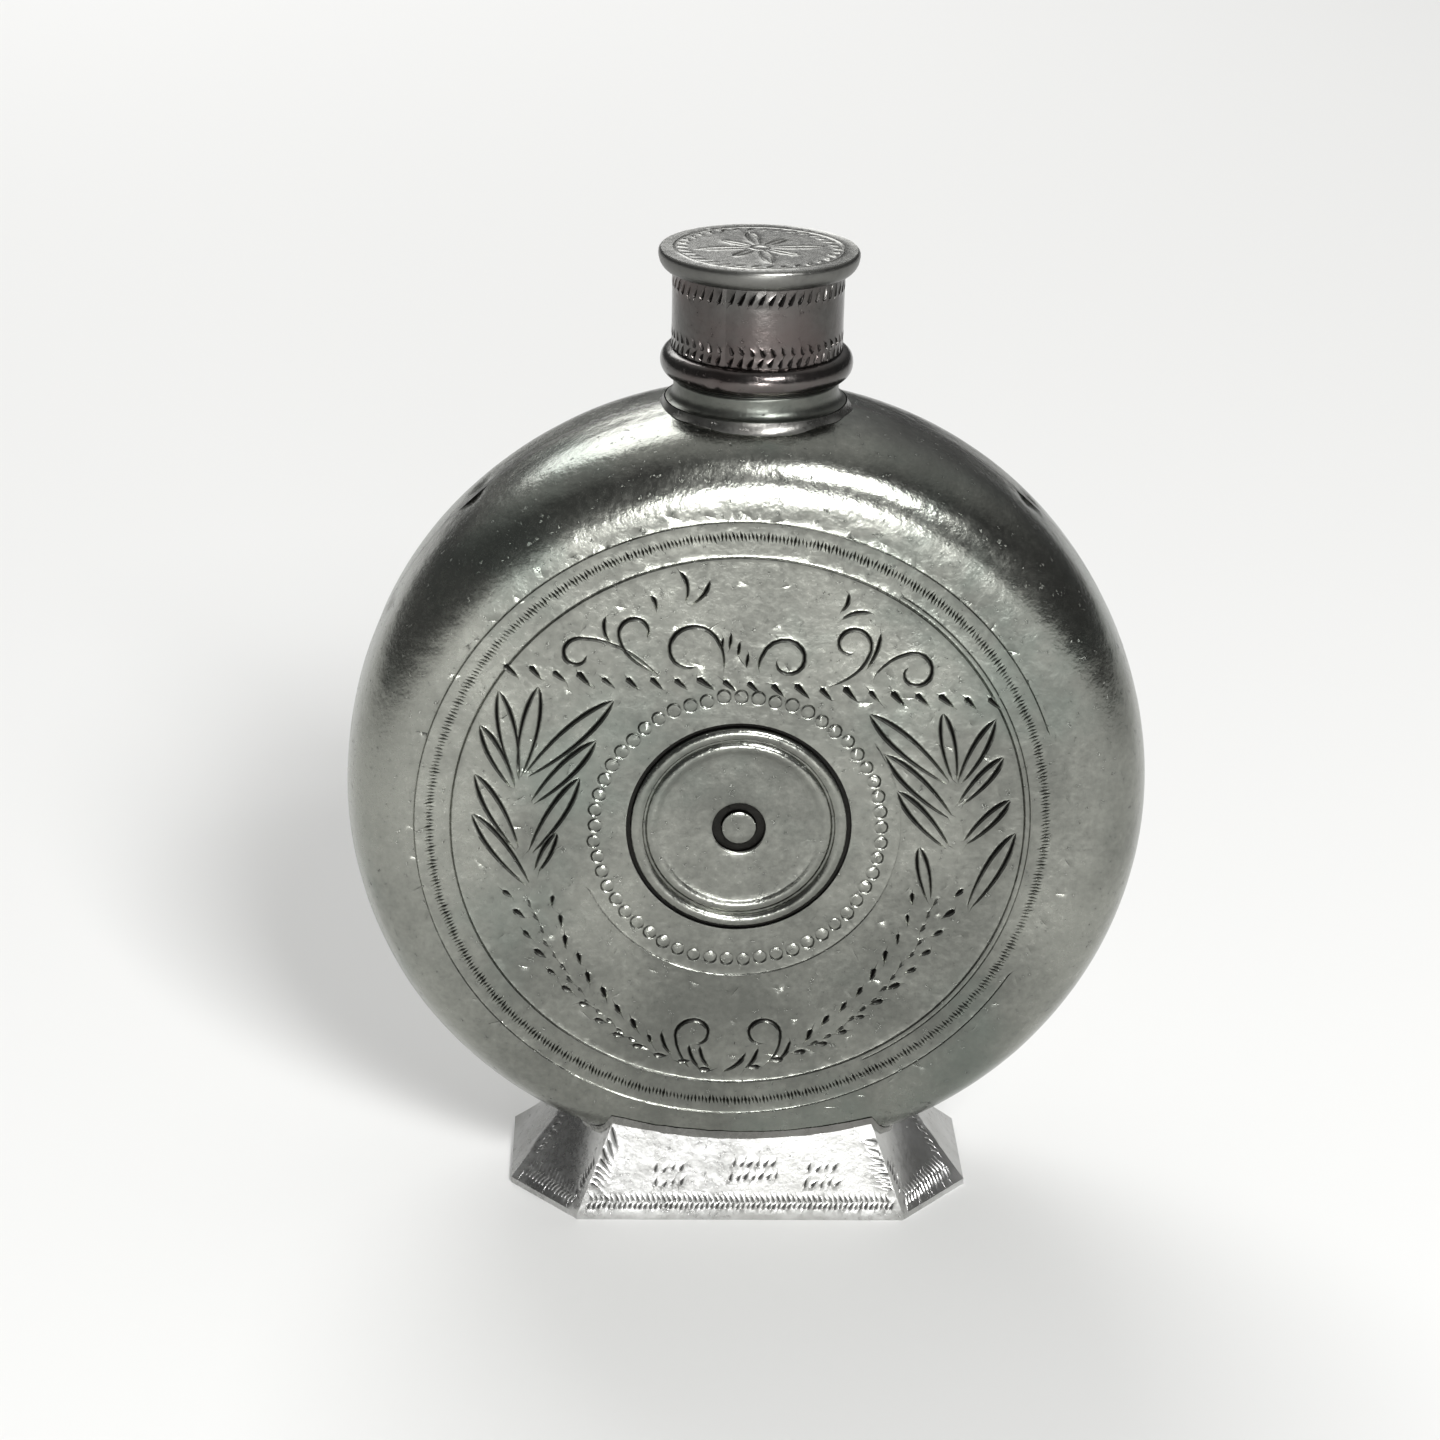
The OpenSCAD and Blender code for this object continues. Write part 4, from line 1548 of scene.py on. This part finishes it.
@dataclass
class Joints:
    """The neck's collar and the solder in the corners round the neck and the foot."""

    shell: HalfShell
    foot: Foot
    neck_r: float = 8.95
    flare_r: float = 12.7
    solder_r: float = 13.85
    collar_up: float = 60.1
    flare_up: float = 57.0
    sunk: float = 0.3
    around: int = 150
    # How dark the collar is all over: painted shade under the cap's bead
    collar_grime: float = 0.12
    # How dark the neck's solder is: a little painted shade under the cap
    solder_grime: float = 0.06

    def sunk_ring(self, solid: Solid, r: float, grime: float) -> list[int]:
        """Adds a ring just under the body's face."""
        return solid.ring(self.around, lambda c, s: (
            r, self.shell.top_at(r * c, r * s) - self.sunk), grime)

    def collar(self, material: bpy.types.Material) -> None:
        """Makes the collar: a soft edge and a hollow flare that stands on the body.

        Args:
            material: the piece's finish.
        """
        solid = Solid("neck_collar_worn")
        profile = [(self.neck_r, self.collar_up), (10.4, self.collar_up),
                   (11.2, self.collar_up - 0.03)]
        profile += arc((11.25, self.collar_up - 0.5), (0.4, 0.46), range(75, -16, -15))
        profile += [(11.62, 59.1), (11.6, 58.6), (11.66, 58.1), (11.8, 57.7), (12.05, 57.35),
                    (12.4, 57.12), (self.flare_r, self.flare_up)]
        rings = []
        for r, up in profile:
            dent = 0.12 if r > 11.4 else 0.0
            rings.append(solid.ring(
                self.around, lambda c, s: (r - uneven((r * c, r * s, up), dent), up),
                self.collar_grime))
        rings += [self.sunk_ring(solid, r, self.collar_grime)
                  for r in (self.flare_r - 0.05, self.neck_r)]
        solid.rows(rings, True)
        finish_piece(solid.build(), material, "neck_collar")

    def neck(self, material: bpy.types.Material) -> None:
        """Makes the pool of solder that runs from the collar's flare onto the body.

        Args:
            material: the piece's finish.
        """
        solid = Solid("neck_solder_pool")
        flare_r, steps = self.flare_r + 0.02, 8

        def slope(t: float, c: float, s: float) -> Point:
            """A point of the pool's hollow slope: t goes from the flare down to the body.

            Args:
                t: from 0 at the flare to 1 on the body.
                c: the direction's cosine.
                s: its sine.

            Returns:
                Radius and height.
            """
            out = self.solder_r - 0.45 - 0.45 * noise.noise(Vector((2.6 * c, 2.6 * s, 4.0)))
            end = (out, self.shell.top_at(out * c, out * s) - 0.04)
            start, bend = (flare_r, self.flare_up - 0.05), (self.flare_r + 0.25, end[1] + 0.45)
            u = 1.0 - t
            return tuple(u * u * start[k] + 2 * u * t * bend[k] + t * t * end[k] for k in (0, 1))

        rings = [solid.ring(self.around, lambda c, s: slope(k / steps, c, s), self.solder_grime)
                 for k in range(steps + 1)]
        rings += [self.sunk_ring(solid, r, self.solder_grime) for r in (13.2, flare_r)]
        solid.rows(rings, True)
        finish_piece(solid.build(), material, "neck_solder")

    def at_body(self, start: Vector) -> Vector:
        """The place where the way from a point outside into the body meets its face.

        Args:
            start: the point outside.

        Returns:
            The place.
        """
        out, into = start.copy(), Vector((start.x * 0.93, start.y * 0.75, start.z * 0.93))
        for _ in range(18):
            middle = (out + into) / 2
            if self.shell.within(*middle):
                into = middle
            else:
                out = middle
        return out

    def under(self, material: bpy.types.Material) -> None:
        """Makes the thin run of solder that follows the foot's upper edge round the body.

        Args:
            material: the piece's finish.
        """
        solid, foot = Solid("foot_solder_run"), self.foot
        rows = [[], [], [], [], []]
        for panel in range(PANELS):
            for k in range(foot.across):
                share = k / foot.across
                top = foot.meets(panel, share)
                out = -Vector((*foot.inward(panel, top), 0.0))
                if k == 0:
                    before = foot.inward((panel - 1) % PANELS, top)
                    out = (out - Vector((*before, 0.0))).normalized()
                joint = Vector(foot.at(panel, share, top))
                size = 0.62 + 0.3 * noise.noise(joint * 0.35)
                low = Vector(foot.at(panel, share, top - size)) + out * 0.02
                high = self.at_body(joint + out * size + Vector((0.0, 0.0, 0.35 * size)))
                middle = (low + high) * 0.35 + joint * 0.3 + out * 0.04
                back = Vector(foot.at(panel, share, top - 0.3, 0.5))
                for row, place in zip(rows, (low, (low + middle * 2) / 3, middle, high, back)):
                    row.append(tuple(place))
        solid.rows([solid.put(row) for row in rows], True)
        finish_piece(solid.build(60.0), material, "foot_solder")


class WearGroup:
    """The shared shader group of worn cast pewter: tone, roughness, pits, dark grooves and painted
    shade.
    """

    def __init__(self) -> None:
        """Builds the group once."""
        self.tree = bpy.data.node_groups.new("PewterWear", "ShaderNodeTree")
        self.make = Wiring(self.tree)
        self.make.declare(
            INPUT={"Vector": "Vector", "Groove": "Float", "Dark": "Color", "Light": "Color",
                   "Stain": "Color", "Oxide": "Color", "Least Rough": "Float",
                   "Most Rough": "Float", "Pit Depth": "Float"},
            OUTPUT={"Color": "Color", "Roughness": "Float", "Height": "Float"})
        source = self.tree.nodes.new("NodeGroupInput").outputs
        self.make.fill(self.tree.nodes.new("NodeGroupOutput"), self.wire(source))

    def wire(self, source: bpy.types.bpy_prop_collection) -> dict[str, bpy.types.NodeSocket]:
        """Adds the group's nodes.

        Args:
            source: the group's inputs.

        Returns:
            What feeds each output.
        """
        calc, times, mix = self.make.math, self.make.times, self.make.mix
        span, texture, vector = self.make.span, self.make.noise, source["Vector"]
        patches, specks = texture(vector, 38.0, 6.0, 0.6), texture(vector, 900.0, 6.0, 0.7)
        pits = span(specks, 0.385, 0.28)
        # Dark oxide in the grooves, and painted shade wherever a piece sets this mask
        grime = span(source["Groove"], 0.03, 0.22)
        tone = calc("ADD", times(patches, 0.7), times(specks, 0.3))
        metal = mix(span(tone, 0.36, 0.64), source["Dark"], source["Light"])
        cloud = span(texture(vector, 27.0, 5.0, 0.6), 0.48, 0.66)
        metal = mix(times(cloud, 0.6), metal, source["Stain"])
        metal = mix(times(pits, 0.3), metal, source["Oxide"])
        evenly = calc("ADD", times(patches, 0.5), times(specks, 0.5))
        rough = span(evenly, 0.36, 0.64, source["Least Rough"], source["Most Rough"], "LINEAR")
        height = calc("SUBTRACT", times(texture(vector, 330.0, 3.0, 0.55), 0.8), times(pits, 0.3))
        height = calc("ADD", height, times(texture(vector, 95.0, 2.0, 0.5), 1.3))
        height = calc("ADD", height, times(texture(vector, 2100.0, 3.0, 0.6), 0.2))
        return {"Color": mix(times(grime, 0.97), metal, source["Oxide"]),
                "Roughness": calc("ADD", rough, times(calc("MAXIMUM", pits, grime), 0.25)),
                "Height": times(height, source["Pit Depth"])}


@dataclass(frozen=True)
class PewterFinish:
    """A worn pewter finish: its tones, its span of roughness and the depth of its pits."""

    name: str
    dark: Colour
    light: Colour
    stain: Colour
    rough: Point
    pit: float
    # Oxide in pits and grooves; also the colour of the painted shade, and made this dark for that
    # shade
    oxide: Colour = (0.012, 0.0115, 0.0105)

    def build(self, wear: WearGroup) -> bpy.types.Material:
        """Makes the material round the shared wear group.

        Args:
            wear: the group.

        Returns:
            The material.
        """
        material, make, shader = new_material(self.name)
        group = make.add("ShaderNodeGroup", {
            "Vector": make.add("ShaderNodeTexCoord", {}, "Object"),
            "Groove": make.add("ShaderNodeAttribute", {}, "Fac", attribute_name="groove"),
            "Dark": (*self.dark, 1.0), "Light": (*self.light, 1.0), "Stain": (*self.stain, 1.0),
            "Oxide": (*self.oxide, 1.0), "Least Rough": self.rough[0],
            "Most Rough": self.rough[1], "Pit Depth": self.pit,
        }, node_tree=wear.tree).node.outputs
        make.fill(shader, {"Metallic": 1.0, "Base Color": group["Color"],
                           "Roughness": group["Roughness"],
                           "Normal": make.bump(group["Height"], 0.6, 0.0002)})
        return material


@dataclass(frozen=True)
class LeatherFinish:
    """Old oiled leather."""

    name: str = "washer_leather"
    dark: Colour = (0.10, 0.055, 0.03)
    light: Colour = (0.24, 0.14, 0.08)
    rough: float = 0.62

    def build(self) -> bpy.types.Material:
        """Makes the material.

        Returns:
            The material.
        """
        material, make, shader = new_material(self.name)
        grain = make.noise(make.add("ShaderNodeTexCoord", {}, "Object"), 700.0, 6.0, 0.5)
        tone = make.mix(grain, (*self.dark, 1.0), (*self.light, 1.0))
        make.fill(shader, {"Base Color": tone, "Roughness": self.rough,
                           "Normal": make.bump(grain, 0.5, 0.0001)})
        return material


@dataclass
class Studio:
    """The camera, floor, world and lights that the photograph was taken with, as fitted."""

    lens_mm: float = 79.6
    pitch: float = math.radians(22.382)
    yaw: float = math.radians(2.114)
    roll: float = math.radians(1.304)
    aim_x: float = -3.926
    aim_z: float = 8.335
    distance: float = 460.06
    paper: Colour = (0.84, 0.84, 0.83)
    pale: Colour = (0.91, 0.91, 0.9)
    fade: Point = (1.3, 2.6)
    room_dim: Colour = (0.11, 0.11, 0.11)
    room_light: Colour = (0.7, 0.7, 0.69)
    room_light_from: Point3 = (0.0, 0.42, 0.91)

    def camera(self) -> None:
        """Places the camera at the photograph's angle."""
        c, s = math.cos(self.roll), math.sin(self.roll)
        forward = Vector((0.0, math.cos(self.pitch), -math.sin(self.pitch)))
        up = Vector((0.0, math.sin(self.pitch), math.cos(self.pitch)))
        right = Vector((1.0, 0.0, 0.0))
        place = Vector((self.aim_x, 0.0, self.aim_z)) - self.distance * forward
        axes = Matrix((c * right + s * up, -s * right + c * up, -forward)).transposed()
        back = Matrix.Rotation(-self.yaw, 3, "Z")
        data = bpy.data.cameras.new("Camera")
        data.lens = self.lens_mm
        data.sensor_fit = "HORIZONTAL"
        data.sensor_width = 36.0
        data.clip_start = 0.01
        data.clip_end = 20.0
        camera = bpy.data.objects.new("Camera", data)
        matrix = (back @ axes).to_4x4()
        matrix.translation = (back @ place + Vector((0.0, 0.0, BODY_CENTRE_Z))) * MM
        camera.matrix_world = matrix
        bpy.context.scene.collection.objects.link(camera)
        bpy.context.scene.camera = camera

    def floor(self) -> None:
        """Makes the plain pale floor, which keeps the shadow and fades out far away."""
        bpy.ops.mesh.primitive_plane_add(size=40.0, location=(0.0, 0.0, 0.0))
        floor = bpy.context.object
        floor.name = "Floor"
        material, make, shader = new_material("floor_paper")
        make.fill(shader, {"Base Color": (*self.paper, 1.0), "Roughness": 0.9,
                           "Specular IOR Level": 0.2})
        where = make.add("ShaderNodeTexCoord", {}, "Object")
        away = make.add("ShaderNodeVectorMath", {0: where}, "Value", operation="LENGTH")
        far = make.span(away, *self.fade, kind="LINEAR")
        seen = make.times(far, make.add("ShaderNodeLightPath", {}, "Is Camera Ray"))
        haze = make.add("ShaderNodeEmission", {"Color": (*self.pale, 1.0)})
        blend = make.add("ShaderNodeMixShader", {0: seen, 1: shader.outputs["BSDF"], 2: haze})
        make.fill(material.node_tree.nodes["Material Output"], {"Surface": blend})
        floor.data.materials.append(material)

    def world(self) -> None:
        """Makes the world: a dim room that is lighter overhead, which the camera sees as pale."""
        world = bpy.data.worlds.new("World")
        bpy.context.scene.world = world
        world.use_nodes = True
        make = Wiring(world.node_tree)
        toward = make.add("ShaderNodeVectorMath", {
            0: make.add("ShaderNodeTexCoord", {}, "Generated"), 1: self.room_light_from,
        }, "Value", operation="DOT_PRODUCT")
        rise = make.span(toward, 0.55, 1.0, kind="LINEAR")
        room = make.mix(rise, (*self.room_dim, 1.0), (*self.room_light, 1.0))
        seen = make.add("ShaderNodeLightPath", {}, "Is Camera Ray")
        make.fill(world.node_tree.nodes["Background"], {
            "Color": make.mix(seen, room, (*self.pale, 1.0)), "Strength": 1.0})

    def lamp(self, name: str, place: Point3, size: float, power: float) -> None:
        """Hangs one square soft light, turned to the flask.

        Args:
            name: the light's name.
            place: where it hangs, in metres.
            size: the length of its sides, in metres.
            power: its power in watts.
        """
        data = bpy.data.lights.new(name, "AREA")
        data.size = size
        data.energy = power
        lamp = bpy.data.objects.new(name, data)
        aim = Vector((0.0, 0.0, 0.06)) - Vector(place)
        lamp.rotation_euler = aim.to_track_quat("-Z", "Y").to_euler()
        lamp.location = place
        lamp.visible_camera = False
        bpy.context.scene.collection.objects.link(lamp)

    def build(self) -> None:
        """Sets up the whole stage."""
        self.camera()
        self.floor()
        self.world()
        self.lamp("Key", (0.45, -1.2, 1.0), 0.42, 22.0)
        self.lamp("Front", (0.1, -1.4, 0.12), 0.22, 6.5)
        self.lamp("Back", (-0.4, 1.5, 1.45), 1.3, 22.5)
        bpy.context.scene.view_settings.view_transform = "Standard"


def keep_node(name: str, material: bpy.types.Material) -> None:
    """Keeps a CAD node as it is and gives it a finish.

    Args:
        name: the node's name.
        material: its finish.
    """
    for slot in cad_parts[name].material_slots:
        slot.material = material
    log.info("kept %s", name)


def main() -> None:
    """Builds the stage, the finishes and every piece."""
    logging.basicConfig(level=logging.INFO, format="%(message)s")
    Studio().build()
    wear = WearGroup()
    pewter = PewterFinish(
        "pewter_worn", dark=(0.175, 0.18, 0.163), light=(0.31, 0.316, 0.284),
        stain=(0.195, 0.225, 0.20), rough=(0.16, 0.30), pit=1.15).build(wear)
    # The cap's wall and bead: pewter painted darker than the body's, as painted shade for the dark
    # room that the wall reflects
    cap_pewter_painted_dark = PewterFinish(
        "cap_pewter_worn", dark=(0.068, 0.067, 0.063), light=(0.124, 0.121, 0.116),
        stain=(0.107, 0.08, 0.077), rough=(0.14, 0.26), pit=0.8).build(wear)
    top_pewter = PewterFinish(
        "cap_top_worn", dark=(0.19, 0.19, 0.178), light=(0.32, 0.32, 0.30),
        stain=(0.20, 0.20, 0.19), rough=(0.20, 0.32), pit=0.3).build(wear)
    # The foot: pewter painted much lighter than the body's, as a painted highlight for the bright
    # light that its front panel reflects
    foot_pewter_painted_light = PewterFinish(
        "foot_pewter_worn", dark=(0.38, 0.38, 0.37), light=(0.68, 0.68, 0.67),
        stain=(0.42, 0.42, 0.40), rough=(0.22, 0.38), pit=0.8).build(wear)
    solder = PewterFinish(
        "solder_dull", dark=(0.18, 0.18, 0.17), light=(0.33, 0.33, 0.31),
        stain=(0.18, 0.17, 0.16), rough=(0.20, 0.34), pit=0.9).build(wear)
    leather = LeatherFinish().build()
    punch = MarkPath()
    ornament = FaceOrnament(punch)
    front = HalfShell(Side.FRONT)
    front.build(ornament.front(), pewter)
    HalfShell(Side.REAR).build(ornament.rear(), pewter)
    for side in Side:
        medallion = Medallion(side)
        medallion.disc(pewter)
        medallion.plug(pewter)
    cap = Cap(punch)
    cap.wall(cap_pewter_painted_dark)
    cap.plate(top_pewter)
    cap.bead(cap_pewter_painted_dark)
    foot = Foot(punch, front)
    foot.build(foot_pewter_painted_light)
    joints = Joints(front, foot)
    joints.collar(pewter)
    joints.neck(solder)
    joints.under(solder)
    kept = {"neck_tube": pewter, "neck_thread": pewter, "cap_liner": cap_pewter_painted_dark,
            "cap_thread": cap_pewter_painted_dark, "rim_solder": solder, "cap_washer": leather}
    for name, material in kept.items():
        keep_node(name, material)


if __name__ == "__main__":
    main()
